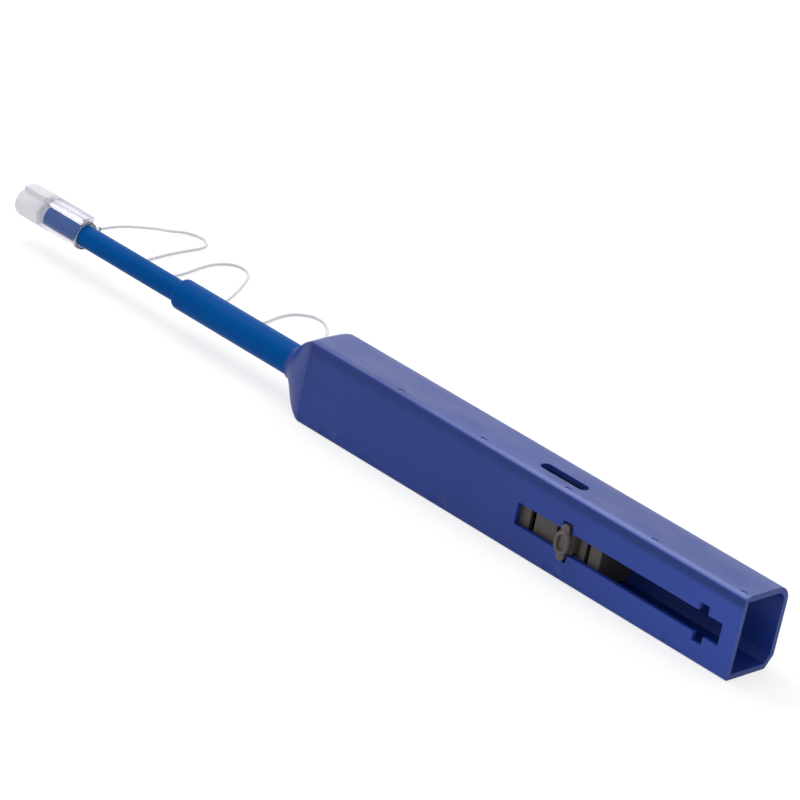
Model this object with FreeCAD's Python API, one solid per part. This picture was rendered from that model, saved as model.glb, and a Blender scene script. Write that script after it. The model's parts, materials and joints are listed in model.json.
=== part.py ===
"""Fibre connector cleaning pen, in millimetres.

The pen lies on its long narrow side. X runs from the tip (-X) to the open rear of the sleeve (+X), -Y is
the side with the slot and the lock button, and Z is up. The origin is on the resting face, below the
middle of the sleeve. The nozzle stands in its long position.
"""

import FreeCAD
import Part
import math
import os

V = FreeCAD.Vector
os.makedirs("parts", exist_ok=True)

# ---- Outer sleeve ----
SLEEVE_LENGTH = 153.0
SLEEVE_WIDTH = 17.4
SLEEVE_HEIGHT = 23.0
SLEEVE_WALL = 1.6
TOP_ROUND = 4.4  # the far top edge
CHAMFER_WIDTH = 2.5  # the far bottom edge, across
CHAMFER_RISE = 3.4  # and upwards
EDGE_ROUND = 0.6  # the two edges of the slot side
INNER_CUT = 0.15  # the small flat that an inner corner keeps where its round runs out
AXIS_HEIGHT = 10.4  # the nozzle's axis above the resting face
SHOULDER_WALL = 1.5  # the sleeve's front wall, behind the nose
NOSE_LENGTH = 10.1
KNEE_PLACE = 0.38  # the nose swells a little: at this part of its taper
KNEE_SHARE = 0.24  # its section is only this far towards the collar
COLLAR_WALL = 0.4  # the nose's wall where it is thinnest, at its tip

# ---- Side cover: the slot, its notches and the snap tabs ----
SLOT_HEIGHT = 6.1
SLOT_LEAD = 16.9  # from the long position's notch to the slot's front end
SLOT_TAIL = 6.4  # from the short position's notch to its rear end
NOTCH_WIDTH = 3.2
NOTCH_HEIGHT = 10.6
TAB_COUNT = 5
TAB_PITCH = 29.55
TAB_SETBACK = 2.4  # the last tab, from the sleeve's rear end
TAB_WIDTH = 1.8
TAB_REACH = 0.9  # how far a tab reaches over the sleeve's wall
TAB_DEPTH = 0.6  # how deep its pocket shows above it
MARK_PITCH = 40.6
MARK_LEAD = 12.5  # the first half-moon mark, from the shoulder
MARK_RADIUS = 3.2
MARK_FOOT = 0.6  # the flat side of a half-moon, above the resting face
MARK_DEPTH = 0.2

# ---- Window in the top face ----
WINDOW_LENGTH = 15.5
WINDOW_WIDTH = 3.4
WINDOW_SETBACK = 66.6  # its middle, from the sleeve's rear end
WINDOW_OFFSET = -2.4  # its middle line, to the slot side of the axis

# ---- Inner carriage ----
CARRIAGE_LENGTH = 104.3
CARRIAGE_WALL = 1.2
CARRIAGE_FRONT_WALL = 2.0
CARRIAGE_LEAD = 0.7  # from the sleeve's front wall to the carriage
REAR_SETBACK = 0.5  # the carriage stops this far inside the sleeve's rear end
BUTTON_SETBACK = 10.8  # the button's middle, from the carriage's rear end
SEAT_WALL = 1.5  # the inner wall that the return spring stands on
THRUST_WALL = 1.8  # the inner wall that holds the shaft's neck
GROOVE_HEIGHT = 8.5  # the upright gaps in the face behind the slot
GROOVE_WIDTH = 1.7
GROOVE_LEAD = 12.65  # the front gap's middle, ahead of the button's middle
RIB_GROOVE = 1.3
RIB_GROOVE_TAIL = 6.35  # the rear gap's middle, behind the button's middle
BUTTON_GAP_FRONT = 4.6  # the button's opening, ahead of its middle
BUTTON_GAP_REAR = 4.0

# ---- Lock button ----
KNOB_WIDTH = 4.8
KNOB_HEIGHT = 6.4
KNOB_PROUD = 1.5
KNOB_SLOT_WIDTH = 1.4
KNOB_SLOT_HEIGHT = 3.2
EAR_WIDTH = 2.7
EAR_THICKNESS = 0.75
STEM_WIDTH = 4.8
KEEPER_THICKNESS = 0.9
KEEPER_LAP = 0.8  # how far the keeper plate reaches past the opening
PILOT_LENGTH = 1.2
BUTTON_TRAVEL = 1.6

# ---- Nozzle ----
BARREL_DIAMETER = 8.8
BARREL_LENGTH = 62.5  # from the step to the back of the flange
BARREL_SHOULDER = 1.0
TIP_TUBE_DIAMETER = 6.2
TIP_TUBE_REACH = 52.4  # from the step to the nozzle's end
TIP_TUBE_SOCKET = 12.0
FLANGE_DIAMETER = 10.6
FLANGE_THICKNESS = 2.0
TAIL_DIAMETER = 6.4
TAIL_LENGTH = 25.3
STROKE = 10.0  # how far the nozzle is pushed in for one clean

# ---- Rotation shaft ----
SHAFT_DIAMETER = 3.6
SHAFT_BORE = 1.2
NECK_DIAMETER = 2.4
HEEL_DIAMETER = 4.0
HEEL_THICKNESS = 0.6
CLEANER_DIAMETER = 2.4
CLEANER_LENGTH = 10.7
CLEANER_PROUD = 1.5  # how far it stands out of the nozzle
GROOVE_SPAN = 1.6  # width of the helical groove
GROOVE_DEPTH = 0.6
GROOVE_TURN = 180.0  # how far one stroke turns the shaft
FOLLOWER_DIAMETER = 1.3
FOLLOWER_LEAD = 5.5  # the follower's place, behind the flange

# ---- Return spring and button spring ----
SPRING_WIRE = 0.8
SPRING_MEAN_DIAMETER = 8.8
SPRING_LENGTH = 17.8
SPRING_TURNS = 5
BUTTON_SPRING_WIRE = 0.5
BUTTON_SPRING_MEAN_DIAMETER = 3.4
BUTTON_SPRING_TURNS = 4
BUTTON_SPRING_LENGTH = 7.4

# ---- Spools, gear and ratchet ----
SPOOL_RISE = 1.1  # the spools' axles, above the nozzle's axis
SPOOL_DIAMETER = 12.0
SPOOL_WIDTH = 5.2
SPOOL_CHEEK = 0.5
SPOOL_HUB_DIAMETER = 4.6
SPOOL_PITCH = 17.0
THREAD_ROOM = 2.3  # from the shaft's heel to the supply spool
AXLE_DIAMETER = 2.0
AXLE_SEAT = 0.7  # how deep an axle sits in each carriage wall
FRESH_DIAMETER = 9.4  # thread wound on the supply spool
USED_DIAMETER = 6.8  # thread wound on the take-up spool
GEAR_MODULE = 0.6
GEAR_TEETH = 16
GEAR_FACE = 1.8
GEAR_HUB = 0.4
BACKLASH = 0.14
PRESSURE_ANGLE = math.radians(20)
RACK_BASE = 1.85  # the rack's back, above its roots
RACK_END = 3.0
YOKE_LENGTH = 4.5
YOKE_WALL = 1.5
RATCHET_TEETH = 12
RATCHET_DIAMETER = 10.8
RATCHET_DEPTH = 0.8
RATCHET_FACE = 0.04  # the angle that a steep face leans, in radians
PAWL_THICKNESS = 0.4
PAWL_WIDTH = 1.4
PAWL_LENGTH = 5.5
PAWL_BLOCK = 1.5
THREAD_DIAMETER = 0.3
ROLLER_DIAMETER = 1.8

# ---- Guide cap and tether ----
CAP_WALL = 1.0
CAP_LENGTH = 25.6
CAP_OVERLAP = 13.9
CAP_ROUND = 1.4
CAP_RIB_WIDTH = 4.4
CAP_RIB_RISE = 1.1
FERRULE_DIAMETER = 2.5
PORT_LENGTH = 9.0
LUG_LENGTH = 2.4
LUG_REACH = 1.6
LUG_HEIGHT = 2.0
LUG_RISE = 0.6
TETHER_DIAMETER = 0.8
TETHER_SIDES = 4
THREAD_SIDES = 3
SPOOL_SIDES = 16
ANCHOR_DIAMETER = 2.2
ANCHOR_SEAT = 2.0
ANCHOR_PROUD = 1.4
ANCHOR_LEAD = 4.0  # ahead of the sleeve's shoulder

# ---- Clearances ----
SLIDE_GAP = 0.3  # carriage in sleeve, each side
BARREL_GAP = 0.2  # barrel in nose and in carriage, radial
RUN_GAP = 0.1  # round running fits, radial
AXLE_GAP = 0.06
SEAT_GAP = 0.02  # pieces that are set into one another
EAR_GAP = 0.2
PORT_GAP = 0.02
END_GAP = 0.2
WORK_GAP = 0.5

# ---- Places that follow from the sizes ----
X_REAR = SLEEVE_LENGTH / 2
X_SHOULDER = -SLEEVE_LENGTH / 2
X_NOSE = X_SHOULDER - NOSE_LENGTH
X_TAPER = X_SHOULDER + SHOULDER_WALL  # the outside narrows from where the room inside begins
X_KNEE = X_TAPER - KNEE_PLACE * (X_TAPER - X_NOSE)
Y_FACE = -SLEEVE_WIDTH / 2
BARREL_RADIUS = BARREL_DIAMETER / 2
COLLAR_RADIUS = BARREL_RADIUS + BARREL_GAP + COLLAR_WALL

CARRIAGE_INSET = SLEEVE_WALL + SLIDE_GAP
ROOM_INSET = CARRIAGE_INSET + CARRIAGE_WALL
X_CARRIAGE = X_SHOULDER + SHOULDER_WALL + CARRIAGE_LEAD
X_CARRIAGE_REAR = X_CARRIAGE + CARRIAGE_LENGTH
TRAVEL = X_REAR - REAR_SETBACK - X_CARRIAGE_REAR
X_BUTTON = X_CARRIAGE_REAR - BUTTON_SETBACK
Y_ROOM = SLEEVE_WIDTH / 2 - ROOM_INSET
Z_FLOOR = ROOM_INSET
Z_CEILING = SLEEVE_HEIGHT - ROOM_INSET

X_FLANGE = X_CARRIAGE + CARRIAGE_FRONT_WALL + WORK_GAP
X_FLANGE_BACK = X_FLANGE + FLANGE_THICKNESS
X_STEP = X_FLANGE_BACK - BARREL_LENGTH
X_NOZZLE_END = X_STEP - TIP_TUBE_REACH
X_TAIL = X_FLANGE_BACK + TAIL_LENGTH
X_SEAT = X_FLANGE_BACK + SPRING_LENGTH
X_THRUST = X_TAIL + STROKE + 1.1
X_HEEL = X_THRUST + THRUST_WALL + END_GAP
X_CLEANER = X_NOZZLE_END - CLEANER_PROUD
X_SHAFT = X_CLEANER + CLEANER_LENGTH
X_FOLLOWER = X_FLANGE_BACK + FOLLOWER_LEAD
X_SUPPLY = X_HEEL + HEEL_THICKNESS + THREAD_ROOM + SPOOL_DIAMETER / 2
X_TAKE_UP = X_SUPPLY + SPOOL_PITCH
Z_SPOOL = AXIS_HEIGHT + SPOOL_RISE
PITCH_RADIUS = GEAR_MODULE * GEAR_TEETH / 2
Z_PITCH_LINE = Z_SPOOL + PITCH_RADIUS
Y_GEAR = SPOOL_WIDTH / 2 + GEAR_HUB

X_CAP_REAR = X_NOZZLE_END + CAP_OVERLAP
X_CAP_FRONT = X_CAP_REAR - CAP_LENGTH
CAP_BORE = TIP_TUBE_DIAMETER / 2 + RUN_GAP
CAP_RADIUS = CAP_BORE + CAP_WALL


def box(x0, x1, y0, y1, z0, z1):
    return Part.makeBox(x1 - x0, y1 - y0, z1 - z0, V(x0, y0, z0))


def along_x(x0, x1, radius, y=0.0, z=AXIS_HEIGHT):
    return Part.makeCylinder(radius, x1 - x0, V(x0, y, z), V(1, 0, 0))


def along_y(y0, y1, radius, x, z):
    return Part.makeCylinder(radius, y1 - y0, V(x, y0, z), V(0, 1, 0))


def turned(profile):
    """A solid turned about the nozzle's axis, from its (x, radius) corners."""
    points = [V(x, 0, AXIS_HEIGHT + radius) for x, radius in profile]
    face = Part.Face(Part.makePolygon(points + points[:1]))
    return face.revolve(V(0, 0, AXIS_HEIGHT), V(1, 0, 0), 360)


def oval_y(y0, y1, width, height, x, z):
    """An upright slot-shaped block, extruded along Y."""
    radius = width / 2
    half = height / 2 - radius
    block = box(x - radius, x + radius, y0, y1, z - half, z + half)
    return block.fuse([along_y(y0, y1, radius, x, z - half), along_y(y0, y1, radius, x, z + half)])


def outline_y(points, y0, y1):
    """A flat outline of (x, z) corners, extruded along Y."""
    corners = [V(x, y0, z) for x, z in points]
    face = Part.Face(Part.makePolygon(corners + corners[:1]))
    return face.extrude(V(0, y1 - y0, 0))


def section_points(inset):
    """The corners of the housing's section in (y, z), each side moved in by the inset."""
    near = Y_FACE + inset
    far = SLEEVE_WIDTH / 2 - inset
    top = SLEEVE_HEIGHT - inset
    near_round = max(EDGE_ROUND - inset, INNER_CUT)
    far_round = max(TOP_ROUND - inset, INNER_CUT)
    slope = CHAMFER_RISE / CHAMFER_WIDTH
    shift = inset * math.hypot(CHAMFER_WIDTH, CHAMFER_RISE) / CHAMFER_RISE
    foot = SLEEVE_WIDTH / 2 - CHAMFER_WIDTH - shift + inset / slope
    knee = inset + (far - foot) * slope
    points = [
        (near, inset + near_round),
        (near, top - near_round),
        (near + near_round, top),
        (far - far_round, top),
        (far, top - far_round),
        (far, knee),
        (foot, inset),
        (near + near_round, inset),
    ]
    centres = {
        1: (near + near_round, top - near_round, near_round),
        3: (far - far_round, top - far_round, far_round),
        7: (near + near_round, inset + near_round, near_round),
    }
    return points, centres


def section_wire(x, inset):
    points, centres = section_points(inset)
    edges = []
    for i, start in enumerate(points):
        end = points[(i + 1) % len(points)]
        if i in centres and centres[i][2] > INNER_CUT:
            cy, cz, radius = centres[i]
            my, mz = (start[0] + end[0]) / 2 - cy, (start[1] + end[1]) / 2 - cz
            reach = radius / math.hypot(my, mz)
            middle = V(x, cy + my * reach, cz + mz * reach)
            edges.append(Part.Arc(V(x, *start), middle, V(x, *end)).toShape())
        else:
            edges.append(Part.makeLine(V(x, *start), V(x, *end)))
    return Part.Wire(edges)


def nose_wire(x, share):
    """The nose's section, from the housing's (a share of 0) to the round collar's (a share of 1)."""
    points, centres = section_points(0)
    edges = []
    for i, start in enumerate(points):
        end = points[(i + 1) % len(points)]
        middle = [(start[0] + end[0]) / 2, (start[1] + end[1]) / 2]
        if i in centres:
            cy, cz, radius = centres[i]
            reach = radius / math.hypot(middle[0] - cy, middle[1] - cz)
            middle = [cy + (middle[0] - cy) * reach, cz + (middle[1] - cz) * reach]
        a, b = (math.atan2(z - AXIS_HEIGHT, y) for y, z in (start, end))
        if b > a:
            b -= 2 * math.pi
        arc = []
        for (y, z), turn in ((start, a), (middle, (a + b) / 2), (end, b)):
            to_y = COLLAR_RADIUS * math.cos(turn)
            to_z = AXIS_HEIGHT + COLLAR_RADIUS * math.sin(turn)
            arc.append(V(x, y + share * (to_y - y), z + share * (to_z - z)))
        edges.append(Part.Arc(*arc).toShape())
    return Part.Wire(edges)


def prism(x0, x1, inset):
    """A length of the housing's section."""
    return Part.Face(section_wire(x0, inset)).extrude(V(x1 - x0, 0, 0))


def coil(start, axis, length, mean_diameter, wire, turns, sides, steps):
    """A compression spring from a start point along an axis, its wire a many-sided bar."""
    to_axis = FreeCAD.Rotation(V(0, 0, 1), axis)
    rise = (length - wire) / (turns * steps)
    slope = math.atan2(rise * steps, math.pi * mean_diameter)
    rings = []
    for i in range(turns * steps + 1):
        turn = 2 * math.pi * i / steps
        outward = V(math.cos(turn), math.sin(turn), 0)
        upward = V(math.sin(turn) * math.sin(slope), -math.cos(turn) * math.sin(slope), math.cos(slope))
        centre = V(outward).multiply(mean_diameter / 2).add(V(0, 0, wire / 2 + i * rise))
        ring = []
        for k in range(sides):
            a = 2 * math.pi * (k + 0.5) / sides
            reach = V(outward).multiply(math.cos(a)).add(V(upward).multiply(math.sin(a)))
            ring.append(to_axis.multVec(centre.add(reach.multiply(wire / 2))).add(start))
        rings.append(ring)
    faces = [Part.Face(Part.makePolygon(ring + ring[:1])) for ring in (rings[0], rings[-1])]
    for low, high in zip(rings, rings[1:]):
        for k in range(sides):
            j = (k + 1) % sides
            for corners in ([low[k], low[j], high[j]], [low[k], high[j], high[k]]):
                faces.append(Part.Face(Part.makePolygon(corners + corners[:1])))
    shell = Part.makeShell(faces)
    shell.sewShape()
    solid = Part.Solid(shell)
    return solid if solid.Volume > 0 else solid.reversed()


def bar_section(centre, along, side, radius, sides):
    """A many-sided face across a tube's path, with a corner towards the given side."""
    up = along.cross(side).normalize()
    ring = []
    for k in range(sides):
        a = 2 * math.pi * k / sides
        reach = V(side).multiply(radius * math.cos(a)).add(V(up).multiply(radius * math.sin(a)))
        ring.append(centre.add(reach))
    return Part.Face(Part.makePolygon(ring + ring[:1]))


def tube(points, diameter, sides, name=None):
    """A plain tube along straight runs joined by tangent arcs, each as large as its runs allow."""
    radius = diameter / 2
    runs = [b.sub(a) for a, b in zip(points, points[1:])]
    side = V(0, 0, 1).cross(runs[0])
    if side.Length < 0.1:
        side = V(0, 1, 0)
    side.normalize()
    solids = []
    bends = []
    start = points[0]
    length = 0
    for before, after, corner in zip(runs, runs[1:], points[1:]):
        turn = before.getAngle(after)
        reach = 0.45 * min(before.Length, after.Length)
        bend = reach / math.tan(turn / 2)
        into = corner.sub(V(before).normalize().multiply(reach))
        hinge = before.cross(after).normalize()
        centre = into.add(hinge.cross(before).normalize().multiply(bend))
        solids.append(bar_section(start, before, side, radius, sides).extrude(into.sub(start)))
        bent = bar_section(into, before, side, radius, sides)
        solids.append(bent.revolve(centre, hinge, math.degrees(turn)))
        side = FreeCAD.Rotation(hinge, math.degrees(turn)).multVec(side)
        length += into.sub(start).Length + bend * turn
        start = corner.add(V(after).normalize().multiply(reach))
        bends.append(bend)
    solids.append(bar_section(start, runs[-1], side, radius, sides).extrude(points[-1].sub(start)))
    length += points[-1].sub(start).Length
    solid = solids[0].fuse(solids[1:])
    if name:
        section = sides / 2 * radius**2 * math.sin(2 * math.pi / sides)
        share = solid.Volume / (section * length)
        print(f"{name}: {length:.1f} mm, {share:.4f} of section times length")
        print(f"{name}: arc radii", *(f"{bend:.1f}" for bend in bends))
    return solid


def gear(module, teeth, y0, y1, x, z):
    """A spur gear with involute flanks, its axis along Y and one tooth pointing up."""
    pitch = module * teeth / 2
    base = pitch * math.cos(PRESSURE_ANGLE)
    half = math.pi / (2 * teeth) - BACKLASH / 2 / (2 * pitch)
    half += math.tan(PRESSURE_ANGLE) - PRESSURE_ANGLE
    flank = []
    for radius in (base, pitch + module / 4, pitch + module):
        swing = math.acos(base / radius)
        flank.append((radius, half - (math.tan(swing) - swing)))
    flank.insert(0, (pitch - 1.25 * module, flank[0][1]))
    points = []
    for k in range(teeth):
        middle = math.pi / 2 + 2 * math.pi * k / teeth
        sides = [(r, middle - a) for r, a in flank] + [(r, middle + a) for r, a in reversed(flank)]
        points += [(x + r * math.cos(a), z + r * math.sin(a)) for r, a in sides]
    return outline_y(points, y0, y1)


nodes = {}

# ---- The sleeve's body: sleeve with nose, side cover, tether anchor ----
housing = prism(X_TAPER, X_REAR, 0)
nose_wires = [nose_wire(X_TAPER, 0.001), nose_wire(X_KNEE, KNEE_SHARE), nose_wire(X_NOSE, 1)]
nose = Part.makeLoft(nose_wires, True, True)
shell = housing.fuse(nose).cut(
    [
        prism(X_SHOULDER + SHOULDER_WALL, X_REAR + 1, SLEEVE_WALL),
        along_x(X_NOSE - 1, X_SHOULDER + SHOULDER_WALL + 1, BARREL_RADIUS + BARREL_GAP),
    ]
)
Y_SEAM = Y_FACE + SLEEVE_WALL
plate_zone = box(X_TAPER, X_REAR, Y_FACE - 1, Y_SEAM, -1, SLEEVE_HEIGHT + 1)
cover = shell.common(plate_zone)
sleeve = shell.cut(plate_zone)

# The slot, with a notch for the button's ears at each end of the travel
Z_SLOT = AXIS_HEIGHT - SLOT_HEIGHT / 2
SKIN = (Y_FACE - 1, Y_SEAM + 1)
slot = [box(X_BUTTON - SLOT_LEAD, X_BUTTON + TRAVEL + SLOT_TAIL, *SKIN, Z_SLOT, Z_SLOT + SLOT_HEIGHT)]
notch = NOTCH_HEIGHT / 2
for x in (X_BUTTON, X_BUTTON + TRAVEL):
    ends = (x - NOTCH_WIDTH / 2, x + NOTCH_WIDTH / 2)
    slot.append(box(*ends, *SKIN, AXIS_HEIGHT - notch, AXIS_HEIGHT + notch))
cover = cover.cut(slot)

# Half-moon ejector marks along the cover's lower edge
for k in range(math.floor((SLEEVE_LENGTH - 2 * MARK_LEAD) / MARK_PITCH) + 1):
    x = X_SHOULDER + MARK_LEAD + k * MARK_PITCH
    disc = along_y(Y_FACE - 1, Y_FACE + MARK_DEPTH, MARK_RADIUS, x, MARK_FOOT)
    low = box(x - 2 * MARK_RADIUS, x + 2 * MARK_RADIUS, Y_FACE - 2, Y_FACE + 1, -2 * MARK_RADIUS, MARK_FOOT)
    cover = cover.cut(disc.cut(low))

# Snap tabs on the cover's long edges, each in a pocket of the sleeve's top or bottom wall
for k in range(TAB_COUNT):
    x = X_REAR - TAB_SETBACK - k * TAB_PITCH
    half = TAB_WIDTH / 2
    top_wall = (SLEEVE_HEIGHT - SLEEVE_WALL - 1, SLEEVE_HEIGHT + 1)
    top_tab = (SLEEVE_HEIGHT - SLEEVE_WALL, SLEEVE_HEIGHT - TAB_DEPTH)
    low_wall = (-1, SLEEVE_WALL + 1)
    low_tab = (TAB_DEPTH, SLEEVE_WALL)
    for wall, tab in ((top_wall, top_tab), (low_wall, low_tab)):
        pocket = box(x - half - SEAT_GAP, x + half + SEAT_GAP, Y_SEAM, Y_SEAM + TAB_REACH + SEAT_GAP, *wall)
        sleeve = sleeve.cut(pocket)
        cover = cover.fuse(box(x - half, x + half, Y_SEAM - 0.2, Y_SEAM + TAB_REACH, *tab))

# The oval window
x_window = X_REAR - WINDOW_SETBACK
reach = (WINDOW_LENGTH - WINDOW_WIDTH) / 2
window = box(
    x_window - reach,
    x_window + reach,
    WINDOW_OFFSET - WINDOW_WIDTH / 2,
    WINDOW_OFFSET + WINDOW_WIDTH / 2,
    SLEEVE_HEIGHT - SLEEVE_WALL - 1,
    SLEEVE_HEIGHT + 1,
)
for x in (x_window - reach, x_window + reach):
    foot = V(x, WINDOW_OFFSET, SLEEVE_HEIGHT - SLEEVE_WALL - 1)
    post = Part.makeCylinder(WINDOW_WIDTH / 2, SLEEVE_WALL + 2, foot)
    window = window.fuse(post)
sleeve = sleeve.cut(window)

# The tether's anchor, set into the far side of the nose
x_anchor = X_SHOULDER - ANCHOR_LEAD
share = KNEE_SHARE + (1 - KNEE_SHARE) * (X_KNEE - x_anchor) / (X_KNEE - X_NOSE)
y_anchor = SLEEVE_WIDTH / 2 - share * (SLEEVE_WIDTH / 2 - COLLAR_RADIUS)
nodes["tether_anchor"] = along_y(
    y_anchor - ANCHOR_SEAT, y_anchor + ANCHOR_PROUD, ANCHOR_DIAMETER / 2, x_anchor, AXIS_HEIGHT
)
sleeve = sleeve.cut(
    along_y(y_anchor - ANCHOR_SEAT, y_anchor + 9, ANCHOR_DIAMETER / 2 + SEAT_GAP, x_anchor, AXIS_HEIGHT)
)
nodes["outer_sleeve"] = sleeve
nodes["side_cover"] = cover

# ---- The carriage's body: a case in two halves, with inner walls and axles ----
case = prism(X_CARRIAGE, X_CARRIAGE_REAR, CARRIAGE_INSET)
case = case.cut(prism(X_CARRIAGE + CARRIAGE_FRONT_WALL, X_CARRIAGE_REAR - CARRIAGE_WALL, ROOM_INSET))
case = case.fuse(
    [prism(X_SEAT, X_SEAT + SEAT_WALL, ROOM_INSET), prism(X_THRUST, X_THRUST + THRUST_WALL, ROOM_INSET)]
)
Z_ROOT = Z_PITCH_LINE + 1.25 * GEAR_MODULE
Z_BACK = Z_ROOT + RACK_BASE
case = case.cut(
    [
        along_x(X_CARRIAGE - 1, X_FLANGE, BARREL_RADIUS + BARREL_GAP),
        along_x(X_SEAT - 1, X_SEAT + SEAT_WALL + 1, TAIL_DIAMETER / 2 + BARREL_GAP),
        along_x(X_THRUST - 1, X_THRUST + THRUST_WALL + 1, NECK_DIAMETER / 2 + RUN_GAP),
        box(
            X_THRUST - 1,
            X_THRUST + THRUST_WALL + 1,
            Y_GEAR - SLIDE_GAP,
            Y_GEAR + GEAR_FACE + SLIDE_GAP,
            Z_PITCH_LINE - GEAR_MODULE - SLIDE_GAP,
            Z_BACK + SLIDE_GAP,
        ),
    ]
)

# The face behind the slot: the button's opening, and an upright gap on each side of it
Y_CASE = Y_FACE + CARRIAGE_INSET
FACE = (Y_CASE - 1, -Y_ROOM + 1)
GAP = (AXIS_HEIGHT - GROOVE_HEIGHT / 2, AXIS_HEIGHT + GROOVE_HEIGHT / 2)
front_gap = X_BUTTON - GROOVE_LEAD
rear_gap = X_BUTTON + RIB_GROOVE_TAIL
case = case.cut(
    [
        box(X_BUTTON - BUTTON_GAP_FRONT, X_BUTTON + BUTTON_GAP_REAR, *FACE, Z_SLOT, Z_SLOT + SLOT_HEIGHT),
        box(front_gap - GROOVE_WIDTH / 2, front_gap + GROOVE_WIDTH / 2, *FACE, *GAP),
        box(rear_gap - RIB_GROOVE / 2, rear_gap + RIB_GROOVE / 2, *FACE, *GAP),
    ]
)
axle_reach = Y_ROOM + AXLE_SEAT
for name, x in (("supply_axle", X_SUPPLY), ("take_up_axle", X_TAKE_UP)):
    seat = along_y(-axle_reach - SEAT_GAP, axle_reach + SEAT_GAP, AXLE_DIAMETER / 2 + SEAT_GAP, x, Z_SPOOL)
    case = case.cut(seat)
    nodes[name] = along_y(-axle_reach, axle_reach, AXLE_DIAMETER / 2, x, Z_SPOOL)

# The button spring's boss and pilot on the far wall
Y_KEEPER = -Y_ROOM + SEAT_GAP
Y_BOSS = Y_KEEPER + KEEPER_THICKNESS + BUTTON_SPRING_LENGTH
boss = along_y(Y_BOSS, Y_ROOM + 0.2, BUTTON_SPRING_MEAN_DIAMETER / 2 + 0.6, X_BUTTON, AXIS_HEIGHT)
pilot_radius = (BUTTON_SPRING_MEAN_DIAMETER - BUTTON_SPRING_WIRE) / 2 - RUN_GAP
case = case.fuse(boss).fuse(along_y(Y_BOSS - PILOT_LENGTH, Y_BOSS + 0.2, pilot_radius, X_BUTTON, AXIS_HEIGHT))

far_half = box(X_CARRIAGE - 1, X_CARRIAGE_REAR + 1, 0, SLEEVE_WIDTH, -1, SLEEVE_HEIGHT + 1)
nodes["carriage_frame"] = case.common(far_half)
nodes["carriage_cover"] = case.cut(far_half)

# ---- The button and its spring ----
knob = oval_y(Y_FACE - EAR_GAP - KNOB_PROUD, Y_FACE - EAR_GAP, KNOB_WIDTH, KNOB_HEIGHT, X_BUTTON, AXIS_HEIGHT)
ears = oval_y(
    Y_FACE - EAR_GAP - EAR_THICKNESS,
    Y_FACE - EAR_GAP,
    EAR_WIDTH,
    NOTCH_HEIGHT - 2 * EAR_GAP,
    X_BUTTON,
    AXIS_HEIGHT,
)
stem_half = SLOT_HEIGHT / 2 - SLIDE_GAP
stem = box(
    X_BUTTON - STEM_WIDTH / 2,
    X_BUTTON + STEM_WIDTH / 2,
    Y_FACE - EAR_GAP - 0.1,
    Y_KEEPER + 0.1,
    AXIS_HEIGHT - stem_half,
    AXIS_HEIGHT + stem_half,
)
keeper = box(
    X_BUTTON - BUTTON_GAP_FRONT - KEEPER_LAP,
    X_BUTTON + BUTTON_GAP_REAR + KEEPER_LAP,
    Y_KEEPER,
    Y_KEEPER + KEEPER_THICKNESS,
    AXIS_HEIGHT - SLOT_HEIGHT / 2 - KEEPER_LAP,
    AXIS_HEIGHT + SLOT_HEIGHT / 2 + KEEPER_LAP,
)
pilot = along_y(Y_KEEPER, Y_KEEPER + KEEPER_THICKNESS + PILOT_LENGTH, pilot_radius, X_BUTTON, AXIS_HEIGHT)
button = knob.fuse([ears, stem, keeper, pilot])
knob_slot = (Y_FACE - EAR_GAP - KNOB_PROUD - 1, Y_FACE + 0.6, KNOB_SLOT_WIDTH, KNOB_SLOT_HEIGHT)
nodes["lock_button"] = button.cut(oval_y(*knob_slot, X_BUTTON, AXIS_HEIGHT))
nodes["button_spring"] = coil(
    V(X_BUTTON, Y_KEEPER + KEEPER_THICKNESS + SEAT_GAP, AXIS_HEIGHT),
    V(0, 1, 0),
    BUTTON_SPRING_LENGTH - 2 * SEAT_GAP,
    BUTTON_SPRING_MEAN_DIAMETER,
    BUTTON_SPRING_WIRE,
    BUTTON_SPRING_TURNS,
    4,
    10,
)

# ---- The nozzle's body: barrel, tip tube, rack and follower ----
tube_radius = TIP_TUBE_DIAMETER / 2
shaft_hole = SHAFT_DIAMETER / 2 + RUN_GAP
nodes["nozzle_barrel"] = turned(
    [
        (X_STEP, tube_radius + SEAT_GAP),
        (X_STEP, BARREL_RADIUS - BARREL_SHOULDER),
        (X_STEP + BARREL_SHOULDER, BARREL_RADIUS),
        (X_FLANGE, BARREL_RADIUS),
        (X_FLANGE, FLANGE_DIAMETER / 2),
        (X_FLANGE_BACK, FLANGE_DIAMETER / 2),
        (X_FLANGE_BACK, TAIL_DIAMETER / 2),
        (X_TAIL, TAIL_DIAMETER / 2),
        (X_TAIL, shaft_hole),
        (X_FLANGE - 1, shaft_hole),
        (X_FLANGE - 1, tube_radius + SEAT_GAP),
    ]
)
nodes["nozzle_tip_tube"] = along_x(X_NOZZLE_END, X_STEP + TIP_TUBE_SOCKET, tube_radius).cut(
    along_x(X_NOZZLE_END - 1, X_STEP + TIP_TUBE_SOCKET + 1, shaft_hole)
)

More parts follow.
